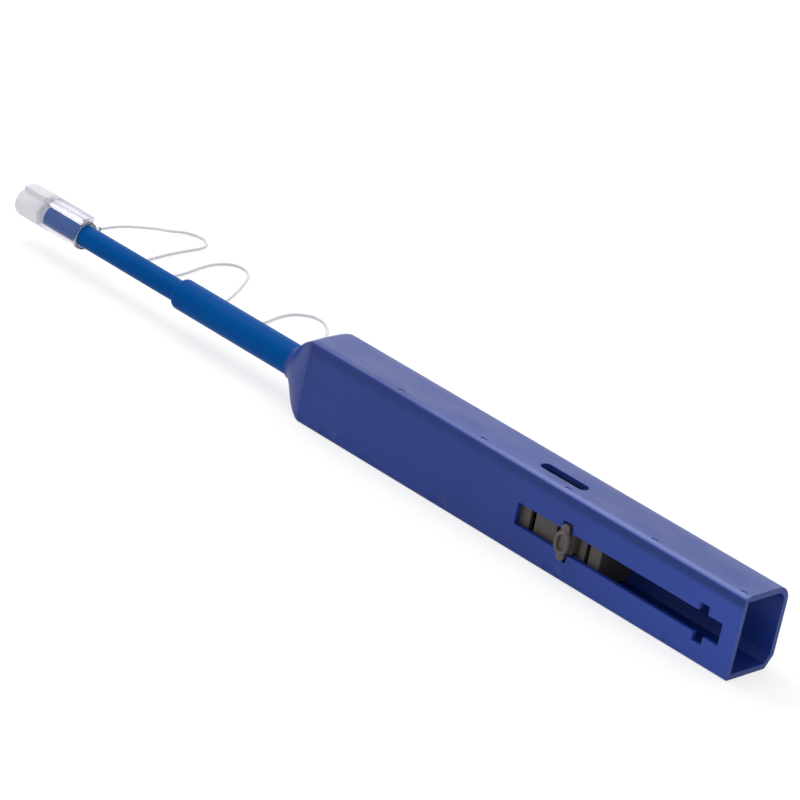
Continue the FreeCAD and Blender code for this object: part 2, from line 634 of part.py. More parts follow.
# The rack: a yoke on the barrel's tail, a bar past the supply spool, and teeth over the gear
yoke = along_x(X_TAIL - YOKE_LENGTH, X_TAIL, TAIL_DIAMETER / 2 + YOKE_WALL)
arm = box(X_TAIL - YOKE_LENGTH, X_TAIL, Y_GEAR - 1.0, Y_GEAR + GEAR_FACE, AXIS_HEIGHT + 1, Z_BACK)
bar = box(X_TAIL - YOKE_LENGTH, X_TAKE_UP + RACK_END, Y_GEAR, Y_GEAR + GEAR_FACE, Z_ROOT, Z_BACK)
rack = yoke.fuse([arm, bar])
tooth_pitch = math.pi * GEAR_MODULE
lean = math.tan(PRESSURE_ANGLE)
root = 1.25 * GEAR_MODULE
for k in range(math.floor((STROKE + RACK_END + PITCH_RADIUS / 2) / tooth_pitch) + 1):
    x = X_TAKE_UP + RACK_END - tooth_pitch / 2 - (RACK_END % tooth_pitch) - k * tooth_pitch
    half = tooth_pitch / 4 - BACKLASH / 4
    tooth = [
        (x - half - root * lean, Z_ROOT + 0.1),
        (x - half - root * lean, Z_ROOT),
        (x - half + GEAR_MODULE * lean, Z_PITCH_LINE - GEAR_MODULE),
        (x + half - GEAR_MODULE * lean, Z_PITCH_LINE - GEAR_MODULE),
        (x + half + root * lean, Z_ROOT),
        (x + half + root * lean, Z_ROOT + 0.1),
    ]
    rack = rack.fuse(outline_y(tooth, Y_GEAR, Y_GEAR + GEAR_FACE))
rack = rack.cut(along_x(X_TAIL - YOKE_LENGTH - 1, X_TAIL + 1, TAIL_DIAMETER / 2 + SEAT_GAP))
nodes["nozzle_rack"] = rack.removeSplitter()

# The follower pin, through the barrel's tail into the shaft's groove
follower_top = AXIS_HEIGHT + TAIL_DIAMETER / 2
follower_foot = AXIS_HEIGHT + SHAFT_DIAMETER / 2 - GROOVE_DEPTH + RUN_GAP
nodes["cam_follower"] = Part.makeCylinder(
    FOLLOWER_DIAMETER / 2, follower_top - follower_foot, V(X_FOLLOWER, 0, follower_foot)
)
nodes["nozzle_barrel"] = nodes["nozzle_barrel"].cut(
    Part.makeCylinder(FOLLOWER_DIAMETER / 2 + SEAT_GAP, SLEEVE_HEIGHT, V(X_FOLLOWER, 0, AXIS_HEIGHT))
)
nodes["return_spring"] = coil(
    V(X_FLANGE_BACK + SEAT_GAP, 0, AXIS_HEIGHT),
    V(1, 0, 0),
    SPRING_LENGTH - 2 * SEAT_GAP,
    SPRING_MEAN_DIAMETER,
    SPRING_WIRE,
    SPRING_TURNS,
    4,
    14,
)

# ---- The shaft's body: a hollow shaft with a helical groove, and the cleaning tip ----
shaft = turned(
    [
        (X_SHAFT, SHAFT_BORE / 2),
        (X_SHAFT, SHAFT_DIAMETER / 2),
        (X_THRUST - END_GAP, SHAFT_DIAMETER / 2),
        (X_THRUST - END_GAP, NECK_DIAMETER / 2),
        (X_HEEL, NECK_DIAMETER / 2),
        (X_HEEL, HEEL_DIAMETER / 2),
        (X_HEEL + HEEL_THICKNESS, HEEL_DIAMETER / 2),
        (X_HEEL + HEEL_THICKNESS, SHAFT_BORE / 2),
    ]
)
# The groove goes half round while the nozzle makes its stroke, with a round landing at each end
groove_floor = SHAFT_DIAMETER / 2 - GROOVE_DEPTH
lead = STROKE * 360 / GROOVE_TURN
helix_slope = math.atan(math.pi * SHAFT_DIAMETER / lead)
across = GROOVE_SPAN / 2 / math.cos(helix_slope)
corners = [
    V(groove_floor, -across, 0),
    V(groove_floor + 2 * GROOVE_DEPTH, -across, 0),
    V(groove_floor + 2 * GROOVE_DEPTH, across, 0),
    V(groove_floor, across, 0),
]
helix = Part.makeHelix(lead, STROKE, SHAFT_DIAMETER / 2)
groove = Part.Wire(helix).makePipeShell([Part.makePolygon(corners + corners[:1])], True, True)
for rise, angle in ((0, 0), (STROKE, math.radians(GROOVE_TURN))):
    out = V(math.cos(angle), math.sin(angle), 0)
    foot = V(out).multiply(groove_floor).add(V(0, 0, rise))
    groove = groove.fuse(Part.makeCylinder(GROOVE_SPAN / 2, SHAFT_DIAMETER, foot, out))
# The helix is drawn up its own Z; here that is the nozzle's axis, and it starts under the follower
on_axis = FreeCAD.Rotation(V(0, 0, 1), V(0, -1, 0), V(1, 0, 0), "XYZ")
groove.Placement = FreeCAD.Placement(V(X_FOLLOWER, 0, AXIS_HEIGHT), on_axis)
nodes["rotation_shaft"] = shaft.cut(groove)
nodes["cleaning_tip"] = turned(
    [
        (X_CLEANER, SHAFT_BORE / 2),
        (X_CLEANER, CLEANER_DIAMETER / 2),
        (X_SHAFT, CLEANER_DIAMETER / 2),
        (X_SHAFT, SHAFT_BORE / 2),
    ]
)

# ---- The spools' bodies ----
half_width = SPOOL_WIDTH / 2


def many_sided(y0, y1, diameter, x):
    """A disc with flat sides on a spool's axle line."""
    corners = []
    for k in range(SPOOL_SIDES):
        a = 2 * math.pi * k / SPOOL_SIDES
        corners.append((x + diameter / 2 * math.cos(a), Z_SPOOL + diameter / 2 * math.sin(a)))
    return outline_y(corners, y0, y1)


def spool(x):
    """Two thin cheeks on a hub."""
    blank = many_sided(-half_width, half_width, SPOOL_HUB_DIAMETER, x).fuse(
        [
            many_sided(-half_width, -half_width + SPOOL_CHEEK, SPOOL_DIAMETER, x),
            many_sided(half_width - SPOOL_CHEEK, half_width, SPOOL_DIAMETER, x),
        ]
    )
    return blank.cut(along_y(-9, 9, AXLE_DIAMETER / 2 + AXLE_GAP, x, Z_SPOOL))


def winding(x, diameter):
    """The thread wound between a spool's cheeks."""
    reach = half_width - SPOOL_CHEEK - SEAT_GAP
    outside = many_sided(-reach, reach, diameter, x)
    return outside.cut(many_sided(-9, 9, SPOOL_HUB_DIAMETER + 2 * SEAT_GAP, x))


nodes["supply_spool"] = spool(X_SUPPLY)
nodes["supply_thread"] = winding(X_SUPPLY, FRESH_DIAMETER)
nodes["take_up_spool"] = spool(X_TAKE_UP)
nodes["take_up_thread"] = winding(X_TAKE_UP, USED_DIAMETER)
axle_hole = along_y(-9, 9, AXLE_DIAMETER / 2 + AXLE_GAP, X_TAKE_UP, Z_SPOOL)
pinion = gear(GEAR_MODULE, GEAR_TEETH, Y_GEAR, Y_GEAR + GEAR_FACE, X_TAKE_UP, Z_SPOOL)
pinion = pinion.fuse(along_y(half_width, Y_GEAR + 0.1, SPOOL_HUB_DIAMETER / 2, X_TAKE_UP, Z_SPOOL))
nodes["drive_gear"] = pinion.cut(axle_hole)

# The ratchet wheel: long backs lift the pawl one way, and steep faces stop it the other way
teeth = []
step = 2 * math.pi / RATCHET_TEETH
for k in range(RATCHET_TEETH):
    a = math.pi / 2 + k * step
    rim = RATCHET_DIAMETER / 2
    for radius, angle in ((rim, a), (rim - RATCHET_DEPTH, a + RATCHET_FACE)):
        teeth.append((X_TAKE_UP + radius * math.cos(angle), Z_SPOOL + radius * math.sin(angle)))
ratchet = outline_y(teeth, -Y_GEAR - GEAR_FACE, -Y_GEAR)
ratchet = ratchet.fuse(along_y(-Y_GEAR - 0.1, -half_width, SPOOL_HUB_DIAMETER / 2, X_TAKE_UP, Z_SPOOL))
nodes["ratchet_wheel"] = ratchet.cut(axle_hole)

# The pawl is a leaf on a block under the case's ceiling, its end against the top tooth's steep face
z_catch = Z_SPOOL + RATCHET_DIAMETER / 2 - RATCHET_DEPTH + SEAT_GAP * 5
x_catch = X_TAKE_UP - RATCHET_FACE * RATCHET_DIAMETER / 2 - SEAT_GAP * 5
x_leaf = x_catch - PAWL_LENGTH
leaf = [
    (x_catch, z_catch),
    (x_leaf, Z_CEILING - PAWL_BLOCK),
    (x_leaf, Z_CEILING - PAWL_BLOCK + PAWL_THICKNESS),
    (x_catch, z_catch + PAWL_THICKNESS),
]
y_pawl = -Y_GEAR - GEAR_FACE / 2
pawl = outline_y(leaf, y_pawl - PAWL_WIDTH / 2, y_pawl + PAWL_WIDTH / 2)
block = box(
    x_leaf - PAWL_BLOCK,
    x_leaf + 0.1,
    y_pawl - PAWL_WIDTH / 2,
    y_pawl + PAWL_WIDTH / 2,
    Z_CEILING - PAWL_BLOCK,
    Z_CEILING,
)
nodes["ratchet_pawl"] = pawl.fuse(block)

# ---- The thread: off the supply spool, through the shaft, over the tip, back, and round a roller ----
x_heel_end = X_HEEL + HEEL_THICKNESS
x_roller = x_heel_end + ROLLER_DIAMETER / 2 + 3 * THREAD_DIAMETER
z_roller = Z_CEILING - ROLLER_DIAMETER / 2 - 2 * THREAD_DIAMETER
nodes["thread_roller"] = along_y(-Y_ROOM, ROLLER_DIAMETER / 2, ROLLER_DIAMETER / 2, x_roller, z_roller)
lane = THREAD_DIAMETER * 0.85
off_roller = ROLLER_DIAMETER / 2 + THREAD_DIAMETER
x_lift = x_roller - off_roller
wrap = off_roller / 0.45
thread_route = [
    V(X_SUPPLY - 1.0, 0, Z_SPOOL - FRESH_DIAMETER / 2 - THREAD_DIAMETER),
    V(x_lift + 2 * THREAD_DIAMETER, 0, AXIS_HEIGHT - lane - 4 * THREAD_DIAMETER),
    V(x_lift, 0, AXIS_HEIGHT - lane),
    V(X_CLEANER - THREAD_DIAMETER, 0, AXIS_HEIGHT - lane),
    V(X_CLEANER - THREAD_DIAMETER, 0, AXIS_HEIGHT + lane),
    V(x_lift, 0, AXIS_HEIGHT + lane),
    V(x_lift + 0.1, 0, AXIS_HEIGHT + lane + 4 * THREAD_DIAMETER),
    V(x_lift + 0.05, 0, z_roller + off_roller - wrap),
    V(x_lift, 0, z_roller + off_roller),
    V(x_lift + wrap, 0, z_roller + off_roller - 0.1),
    V(X_TAKE_UP - 1.0, 0, Z_SPOOL + USED_DIAMETER / 2 + THREAD_DIAMETER),
]
nodes["cleaning_thread"] = tube(thread_route, THREAD_DIAMETER, THREAD_SIDES)

# ---- The cap's body ----
lug_z = AXIS_HEIGHT + LUG_RISE
y_lug = CAP_RADIUS + LUG_REACH
cap = turned(
    [
        (X_CAP_FRONT, 0),
        (X_CAP_FRONT, CAP_RADIUS - CAP_ROUND),
        (X_CAP_FRONT + CAP_ROUND, CAP_RADIUS),
        (X_CAP_REAR, CAP_RADIUS),
        (X_CAP_REAR, 0),
    ]
)
lug_half = LUG_HEIGHT / 2
lug = box(X_CAP_REAR - LUG_LENGTH, X_CAP_REAR, CAP_BORE + 0.5, y_lug, lug_z - lug_half, lug_z + lug_half)
half_rib = CAP_RIB_WIDTH / 2
crown = AXIS_HEIGHT + CAP_RADIUS
rib_heights = (crown - CAP_WALL + 0.1, crown + CAP_RIB_RISE)
rib = box(X_CAP_FRONT + CAP_ROUND, X_CAP_REAR, -half_rib, half_rib, *rib_heights)
nodes["guide_cap"] = cap.fuse([lug, rib]).cut(
    [
        along_x(X_CAP_FRONT - 1, X_CAP_REAR, FERRULE_DIAMETER / 2 + PORT_GAP),
        along_x(X_CAP_FRONT + PORT_LENGTH, X_CAP_REAR + 1, CAP_BORE),
    ]
)

# ---- The tether, in three lengths that meet end to end on the resting plane ----
z_lie = TETHER_DIAMETER / 2 + 0.05
lug_exit = V(X_CAP_REAR - LUG_LENGTH / 2, y_lug, lug_z)
cap_meet = V(-168.3, 22.5, z_lie)
nozzle_meet = V(-137.6, 22.5, z_lie)
anchor_exit = V(x_anchor, y_anchor + ANCHOR_PROUD, AXIS_HEIGHT)
cap_route = [
    lug_exit,
    lug_exit.add(V(0, 6.0, 0)),
    V(-173.6, 21.5, 8.6),
    V(-176.4, 33.0, 5.0),
    V(-179.6, 41.3, 1.6),
    V(-178.7, 48.4, z_lie),
    V(-173.0, 50.4, z_lie),
    V(-168.5, 46.4, z_lie),
    V(-169.2, 37.8, z_lie),
    V(-169.1, 29.5, z_lie),
    cap_meet,
]
nozzle_route = [
    cap_meet,
    V(-167.9, 16.9, z_lie),
    V(-163.0, 14.4, z_lie),
    V(-158.2, 17.6, z_lie),
    V(-157.0, 25.0, z_lie),
    V(-158.8, 34.5, z_lie),
    V(-159.3, 41.0, z_lie),
    V(-156.6, 46.8, z_lie),
    V(-150.3, 46.4, z_lie),
    V(-144.6, 37.5, z_lie),
    V(-140.2, 28.8, z_lie),
    nozzle_meet,
]
sleeve_route = [
    nozzle_meet,
    V(-135.5, 16.8, z_lie),
    V(-130.3, 14.6, z_lie),
    V(-125.2, 17.9, z_lie),
    V(-123.9, 25.5, z_lie),
    V(-125.6, 33.5, z_lie),
    V(-125.3, 39.6, z_lie),
    V(-121.0, 44.2, z_lie),
    V(-115.0, 42.4, z_lie),
    V(-109.5, 36.0, z_lie),
    V(-101.5, 29.5, z_lie),
    V(-91.5, 24.5, 0.9),
    V(-83.5, 20.7, 4.8),
    anchor_exit.add(V(0, 5.5, 0)),
    anchor_exit,
]
nodes["tether_cap_length"] = tube(cap_route, TETHER_DIAMETER, TETHER_SIDES, "tether_cap_length")
nodes["tether_nozzle_length"] = tube(nozzle_route, TETHER_DIAMETER, TETHER_SIDES, "tether_nozzle_length")
nodes["tether_sleeve_length"] = tube(sleeve_route, TETHER_DIAMETER, TETHER_SIDES, "tether_sleeve_length")

for name, shape in nodes.items():
    shape.exportStep(f"parts/{name}.step")
    box_ = shape.BoundBox
    print(
        f"{name}: {len(shape.Solids)} solid, valid {shape.isValid()}, {shape.Volume:.1f} mm3,"
        f" x {box_.XMin:.2f} {box_.XMax:.2f} y {box_.YMin:.2f} {box_.YMax:.2f}"
        f" z {box_.ZMin:.2f} {box_.ZMax:.2f}"
    )
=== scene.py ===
"""A push-to-clean pen for fibre connectors: the finish and fine shapes of its pieces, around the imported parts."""

import json
import math

import bmesh
import bpy
import numpy as np
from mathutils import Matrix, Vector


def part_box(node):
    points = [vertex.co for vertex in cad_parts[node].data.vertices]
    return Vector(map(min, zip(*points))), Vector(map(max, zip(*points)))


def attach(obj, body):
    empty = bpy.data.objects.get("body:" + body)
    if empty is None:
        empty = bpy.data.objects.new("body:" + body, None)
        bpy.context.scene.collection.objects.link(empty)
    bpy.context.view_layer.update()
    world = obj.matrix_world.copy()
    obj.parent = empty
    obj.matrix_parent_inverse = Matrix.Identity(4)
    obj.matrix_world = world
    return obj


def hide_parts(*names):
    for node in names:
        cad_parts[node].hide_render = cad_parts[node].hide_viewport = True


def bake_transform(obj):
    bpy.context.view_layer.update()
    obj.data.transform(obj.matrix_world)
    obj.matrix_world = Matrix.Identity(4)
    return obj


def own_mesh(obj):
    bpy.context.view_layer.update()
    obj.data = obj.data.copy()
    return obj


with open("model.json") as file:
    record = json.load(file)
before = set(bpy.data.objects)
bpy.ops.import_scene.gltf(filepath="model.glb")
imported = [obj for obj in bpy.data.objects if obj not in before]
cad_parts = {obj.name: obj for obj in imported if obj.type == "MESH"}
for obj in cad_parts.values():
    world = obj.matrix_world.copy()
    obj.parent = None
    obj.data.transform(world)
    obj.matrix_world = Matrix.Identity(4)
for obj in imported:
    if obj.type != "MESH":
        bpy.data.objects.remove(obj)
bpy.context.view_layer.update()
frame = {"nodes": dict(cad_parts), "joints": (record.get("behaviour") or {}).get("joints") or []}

# ---- Camera ----
# A long lens looks down on the pen from behind its open end, on the side with the slot. It is rolled a
# little, so that the pen runs from corner to corner.
camera_data = bpy.data.cameras.new("camera")
camera_data.lens = 216.0
camera_data.sensor_width = 36.0
camera_data.clip_end = 20.0
camera = bpy.data.objects.new("camera", camera_data)
camera.location = (0.67323, -0.87275, 0.51424)
camera.rotation_euler = [math.radians(angle) for angle in (65.797, -11.178, 44.612)]
bpy.context.scene.collection.objects.link(camera)
bpy.context.scene.camera = camera
bpy.context.scene.view_settings.view_transform = "Standard"


# ---- Floor, studio light and surroundings ----
# The pen lies on a matt white sheet in a white room. One large softbox hangs over it, one stands lower on
# its far side, one hangs beyond its tip, and a weak one faces its slot side near the open end.
def add(tree, kind, inputs=None, **settings):
    """Puts a node into a material's tree, with its settings, and with values or links for its inputs."""
    node = tree.nodes.new(kind)
    for key, value in settings.items():
        setattr(node, key, value)
    for key, value in (inputs or {}).items():
        if isinstance(value, bpy.types.NodeSocket):
            tree.links.new(value, node.inputs[key])
        else:
            node.inputs[key].default_value = value
    return node


def seen(tree):
    """Is 1 for what the camera sees, directly, in a gloss or through a clear wall, and 0 for soft light."""
    path = add(tree, "ShaderNodeLightPath").outputs
    direct = {0: path["Is Camera Ray"], 1: path["Is Glossy Ray"]}
    glossy = add(tree, "ShaderNodeMath", direct, operation="MAXIMUM")
    through = {0: glossy.outputs[0], 1: path["Is Transmission Ray"]}
    return add(tree, "ShaderNodeMath", through, operation="MAXIMUM").outputs[0]


def noise(tree, place, scale, detail, **more):
    """A soft random pattern from 0 to 1, finer as its scale rises."""
    inputs = {"Vector": place, "Scale": scale, "Detail": detail}
    inputs.update({key.capitalize(): value for key, value in more.items()})
    return add(tree, "ShaderNodeTexNoise", inputs).outputs[0]


paper = bpy.data.materials.new("white_paper")
paper.use_nodes = True
paper_tree = paper.node_tree
paper_tree.nodes.clear()
place = add(paper_tree, "ShaderNodeTexCoord").outputs["Object"]
pulp = {"Height": noise(paper_tree, place, 900.0, 3.0), "Strength": 0.04, "Distance": 0.0002}
relief = add(paper_tree, "ShaderNodeBump", pulp).outputs[0]
room = add(paper_tree, "ShaderNodeBsdfDiffuse", {"Color": (0.80, 0.80, 0.80, 1), "Normal": relief})
# What is seen of the sheet is mostly glow, so that it is white and still takes the pen's shadow
sheet = add(paper_tree, "ShaderNodeBsdfDiffuse", {"Color": (0.34, 0.34, 0.34, 1), "Normal": relief})
glow = add(paper_tree, "ShaderNodeEmission", {"Color": (1, 1, 1, 1), "Strength": 0.71})
white = add(paper_tree, "ShaderNodeAddShader", {0: sheet.outputs[0], 1: glow.outputs[0]})
both = add(paper_tree, "ShaderNodeMixShader", {0: seen(paper_tree), 1: room.outputs[0], 2: white.outputs[0]})
add(paper_tree, "ShaderNodeOutputMaterial", {"Surface": both.outputs[0]})

FLOOR_REACH = 6
FLOOR_DROP = 5e-5
floor_mesh = bpy.data.meshes.new("floor")
sheet_corners = [(-1, -1), (1, -1), (1, 1), (-1, 1)]
floor_points = [(FLOOR_REACH * x, FLOOR_REACH * y, -FLOOR_DROP) for x, y in sheet_corners]
floor_mesh.from_pydata(floor_points, [], [(0, 1, 2, 3)])
floor_mesh.materials.append(paper)
floor = bpy.data.objects.new("floor", floor_mesh)
bpy.context.scene.collection.objects.link(floor)

world = bpy.data.worlds.new("room")
world.use_nodes = True
world_tree = world.node_tree
world_tree.nodes.clear()
strength = add(world_tree, "ShaderNodeMapRange", {"Value": seen(world_tree), "To Min": 0.55, "To Max": 1.0})
sky = add(world_tree, "ShaderNodeBackground", {"Color": (1, 1, 1, 1), "Strength": strength.outputs[0]})
add(world_tree, "ShaderNodeOutputWorld", {"Surface": sky.outputs[0]})
bpy.context.scene.world = world


def softbox(name, place, towards, width, height, power):
    """A flat rectangular lamp at a place, facing a point."""
    data = bpy.data.lights.new(name, "AREA")
    data.shape = "RECTANGLE"
    data.size = width
    data.size_y = height
    data.energy = power
    lamp = bpy.data.objects.new(name, data)
    away = np.subtract(place, towards) / np.linalg.norm(np.subtract(place, towards))
    across = np.cross((0, 0, 1), away)
    across = across / np.linalg.norm(across) if np.linalg.norm(across) > 0.01 else np.array([1.0, 0, 0])
    matrix = np.eye(4)
    matrix[:3, :3] = np.column_stack([across, np.cross(away, across), away])
    matrix[:3, 3] = place
    lamp.matrix_world = [tuple(row) for row in matrix.T]
    bpy.context.scene.collection.objects.link(lamp)


softbox("overhead_softbox", (-0.25, 0.25, 1.6), (-0.05, 0.0, 0.0), 1.6, 1.2, 7.0)
softbox("back_softbox", (-1.15, 1.35, 0.85), (-0.05, 0.0, 0.0), 1.3, 0.7, 3.5)
softbox("edge_softbox", (-0.80, 0.0, 1.05), (-0.02, 0.0, 0.0), 0.8, 0.35, 5.0)
softbox("front_softbox", (0.30, -0.80, 0.30), (0.05, 0.0, 0.01), 0.4, 0.3, 0.6)

# ---- Tether ----
# A thin nylon line ties the loose guide cap to the pen: out of the cap's lug, in three slack waves on the
# bench, and into a peg in the nose. It is one line in three lengths, because the cap, the nozzle and the
# carriage each pull on it.
TETHER_WIDTH = 0.8
TETHER_LIFT = 0.05
LUG_MIDDLE = 1.2
LUG_HEIGHT = 11.0
AXIS = 10.4
lie = TETHER_WIDTH / 2 + TETHER_LIFT
_, cap_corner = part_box("guide_cap")
anchor_low, anchor_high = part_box("tether_anchor")
lug_exit = (cap_corner.x * 1000 - LUG_MIDDLE, cap_corner.y * 1000, LUG_HEIGHT)
anchor_exit = (500 * (anchor_low.x + anchor_high.x), anchor_high.y * 1000, AXIS)
cap_route = [
    lug_exit,
    (lug_exit[0], lug_exit[1] + 6.0, lug_exit[2]),
    (-173.6, 21.5, 8.6),
    (-176.4, 33.0, 5.0),
    (-179.6, 41.3, 1.6),
    (-178.7, 48.4, lie),
    (-173.0, 50.4, lie),
    (-168.5, 46.4, lie),
    (-169.2, 37.8, lie),
    (-169.1, 29.5, lie),
    (-168.3, 22.5, lie),
]
nozzle_route = [
    cap_route[-1],
    (-167.9, 16.9, lie),
    (-163.0, 14.4, lie),
    (-158.2, 17.6, lie),
    (-157.0, 25.0, lie),
    (-158.8, 34.5, lie),
    (-159.3, 41.0, lie),
    (-156.6, 46.8, lie),
    (-150.3, 46.4, lie),
    (-144.6, 37.5, lie),
    (-140.2, 28.8, lie),
    (-137.6, 22.5, lie),
]
sleeve_route = [
    nozzle_route[-1],
    (-135.5, 16.8, lie),
    (-130.3, 14.6, lie),
    (-125.2, 17.9, lie),
    (-123.9, 25.5, lie),
    (-125.6, 33.5, lie),
    (-125.3, 39.6, lie),
    (-121.0, 44.2, lie),
    (-115.0, 42.4, lie),
    (-109.5, 36.0, lie),
    (-101.5, 29.5, lie),
    (-91.5, 24.5, 0.9),
    (-83.5, 20.7, 4.8),
    (anchor_exit[0], anchor_exit[1] + 5.5, anchor_exit[2]),
    anchor_exit,
]


def quads(rows, around, start=0):
    """The faces of a grid of points, with its last column joined to its first."""
    i, j = np.meshgrid(np.arange(rows - 1), np.arange(around), indexing="ij")
    k = (j + 1) % around
    faces = [i * around + j, i * around + k, (i + 1) * around + k, (i + 1) * around + j]
    return np.stack(faces, -1).reshape(-1, 4) + start


def piece(name, points, faces, finish):
    """A smooth mesh from corners in millimetres, its doubles merged and its faces pointing outwards."""
    mesh = bpy.data.meshes.new(name)
    mesh.from_pydata((np.asarray(points) / 1000).tolist(), [], [list(face) for face in faces])
    work = bmesh.new()
    work.from_mesh(mesh)
    bmesh.ops.remove_doubles(work, verts=work.verts, dist=2e-6)
    bmesh.ops.dissolve_degenerate(work, edges=work.edges, dist=1e-7)
    bmesh.ops.delete(work, geom=[v for v in work.verts if not v.link_faces], context="VERTS")
    bmesh.ops.recalc_face_normals(work, faces=work.faces)
    work.to_mesh(mesh)
    work.free()
    mesh.shade_smooth()
    mesh.materials.append(finish)
    made = bpy.data.objects.new(name, mesh)
    bpy.context.scene.collection.objects.link(made)
    return made


def smooth_line(route):
    """The points of a smooth line steered by a route's corners: a NURBS spline of order 3 from end to end."""
    curve = bpy.data.curves.new("route", "CURVE")
    curve.dimensions = "3D"
    curve.resolution_u = 14
    spline = curve.splines.new("NURBS")
    spline.points.add(len(route) - 1)
    spline.points.foreach_set("co", np.column_stack([np.array(route) / 1000, np.ones(len(route))]).ravel())
    spline.order_u = 3
    spline.use_endpoint_u = True
    holder = bpy.data.objects.new("route", curve)
    mesh = bpy.data.meshes.new_from_object(holder)
    line = np.empty(3 * len(mesh.vertices))
    mesh.vertices.foreach_get("co", line)
    bpy.data.objects.remove(holder)
    bpy.data.curves.remove(curve)
    bpy.data.meshes.remove(mesh)
    return 1000 * line.reshape(-1, 3)


def line_tube(line, radius, around=12):
    """A round tube along a line: each ring stands square to the line, at radius times (cos a, sin a), and a
    point in the middle of the first and last ring closes its ends."""
    along = np.gradient(line, axis=0)
    along /= np.linalg.norm(along, axis=1)[:, None]
    side = np.cross((0, 0, 1), along)
    side /= np.linalg.norm(side, axis=1)[:, None]
    up = np.cross(along, side)
    angle = 2 * np.pi * np.arange(around) / around
    rings = line[:, None] + radius * (
        np.cos(angle)[None, :, None] * side[:, None] + np.sin(angle)[None, :, None] * up[:, None]
    )
    first = np.repeat(line[:1, None], around, axis=1)
    last = np.repeat(line[-1:, None], around, axis=1)
    grid = np.concatenate([first, rings, last])
    return grid.reshape(-1, 3), quads(len(grid), around)


def surface(name):
    """A new material, with its nodes, its shader, and the place of each point of a piece."""
    made = bpy.data.materials.new(name)
    made.use_nodes = True
    tree = made.node_tree
    return made, tree, tree.nodes["Principled BSDF"], add(tree, "ShaderNodeTexCoord").outputs["Object"]


def shaded(tree, shader, share, one, other):
    """Colours a surface between two shades, by a share from 0 to 1."""
    shades = {"Factor": share, 6: (*one, 1), 7: (*other, 1)}
    mixed = add(tree, "ShaderNodeMix", shades, data_type="RGBA")
    tree.links.new(mixed.outputs[2], shader.inputs["Base Color"])


def grained(tree, shader, height, strength, depth):
    """Roughens a surface by a pattern, to a depth in metres."""
    relief = add(tree, "ShaderNodeBump", {"Height": height, "Strength": strength, "Distance": depth})
    tree.links.new(relief.outputs[0], shader.inputs["Normal"])


def finished(shader, **values):
    """Sets what is the same all over a surface, on the shader's own sockets."""
    for key, value in values.items():
        shader.inputs[key.replace("_", " ")].default_value = value


# Milky nylon: it lets some light through, with a soft gloss and faint cloudiness along its length
nylon, nylon_tree, nylon_shader, place = surface("nylon_line")
cloud = noise(nylon_tree, place, 160.0, 2.0)
shaded(nylon_tree, nylon_shader, cloud, (0.70, 0.70, 0.76), (0.84, 0.84, 0.88))
grained(nylon_tree, nylon_shader, noise(nylon_tree, place, 3000.0, 2.0), 0.1, 2e-5)
finished(nylon_shader, Roughness=0.28, Transmission_Weight=0.1, IOR=1.5)

# Each length is a smooth tube along its route, listed with a body and a place for each of its ends
bench, lug = (0, 0, 0.0005), (0, 0, LUG_HEIGHT / 1000)
nozzle_join, carriage_join = (-0.1683, 0, 0), (-0.1376, 0, 0)
anchor = (anchor_exit[0] / 1000, 0, 0)
for name, route, bodies, start, end in (
    ("tether_cap_line", cap_route, ("nozzle", "cap"), bench, lug),
    ("tether_nozzle_line", nozzle_route, ("carriage", "nozzle"), carriage_join, nozzle_join),
    ("tether_sleeve_line", sleeve_route, ("sleeve", "carriage"), anchor, carriage_join),
):
    line = smooth_line(route)
    tether = piece(name, *line_tube(line, TETHER_WIDTH / 2), nylon)
    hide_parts(name.replace("_line", "_length"))
    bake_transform(tether)

# ---- Sleeve and side cover ----
# The outer case: a square tube with a tapered nose, moulded in blue-violet ABS with a satin face. Its slot
# side is a separate cover, snapped on with small tabs that sit in pockets along both long edges.
WALL = 1.6
TOP_ROUND = 4.4
EDGE_ROUND = 0.6
LEAST_ROUND = 0.15
CHAMFER = (2.5, 3.4)
BUTTON_PLACE = 19.2
SLOT_HALF_HEIGHT = 3.05
SLOT_LEAD, SLOT_TAIL = 16.9, 6.4
NOTCH_HALF_HEIGHT, NOTCH_HALF_WIDTH = 5.3, 1.6
TAB_COUNT, TAB_PITCH, TAB_SETBACK = 5, 29.55, 2.4
TAB_HALF_WIDTH = TAB_REACH = 0.9
TAB_SUNK, TAB_GAP = 0.12, 0.03
MARK_COUNT, MARK_PITCH, MARK_LEAD = 4, 40.6, 12.5
MARK_RADIUS, MARK_DEPTH, MARK_SLOPE = 3.1, 0.08, 0.22
MARK_HEIGHT, MARK_DROP, MARK_FIELD = 2.0, 1.25, 3.7
WINDOW_SETBACK, WINDOW_MIDDLE, WINDOW_REACH, WINDOW_RADIUS = 66.6, -2.4, 6.05, 1.7
WINDOW_FIELD, WINDOW_BAND = 9.0, (-4.85, 0.05)


def corners(node):
    """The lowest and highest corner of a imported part, in millimetres."""
    return [1000 * np.array(corner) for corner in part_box(node)]


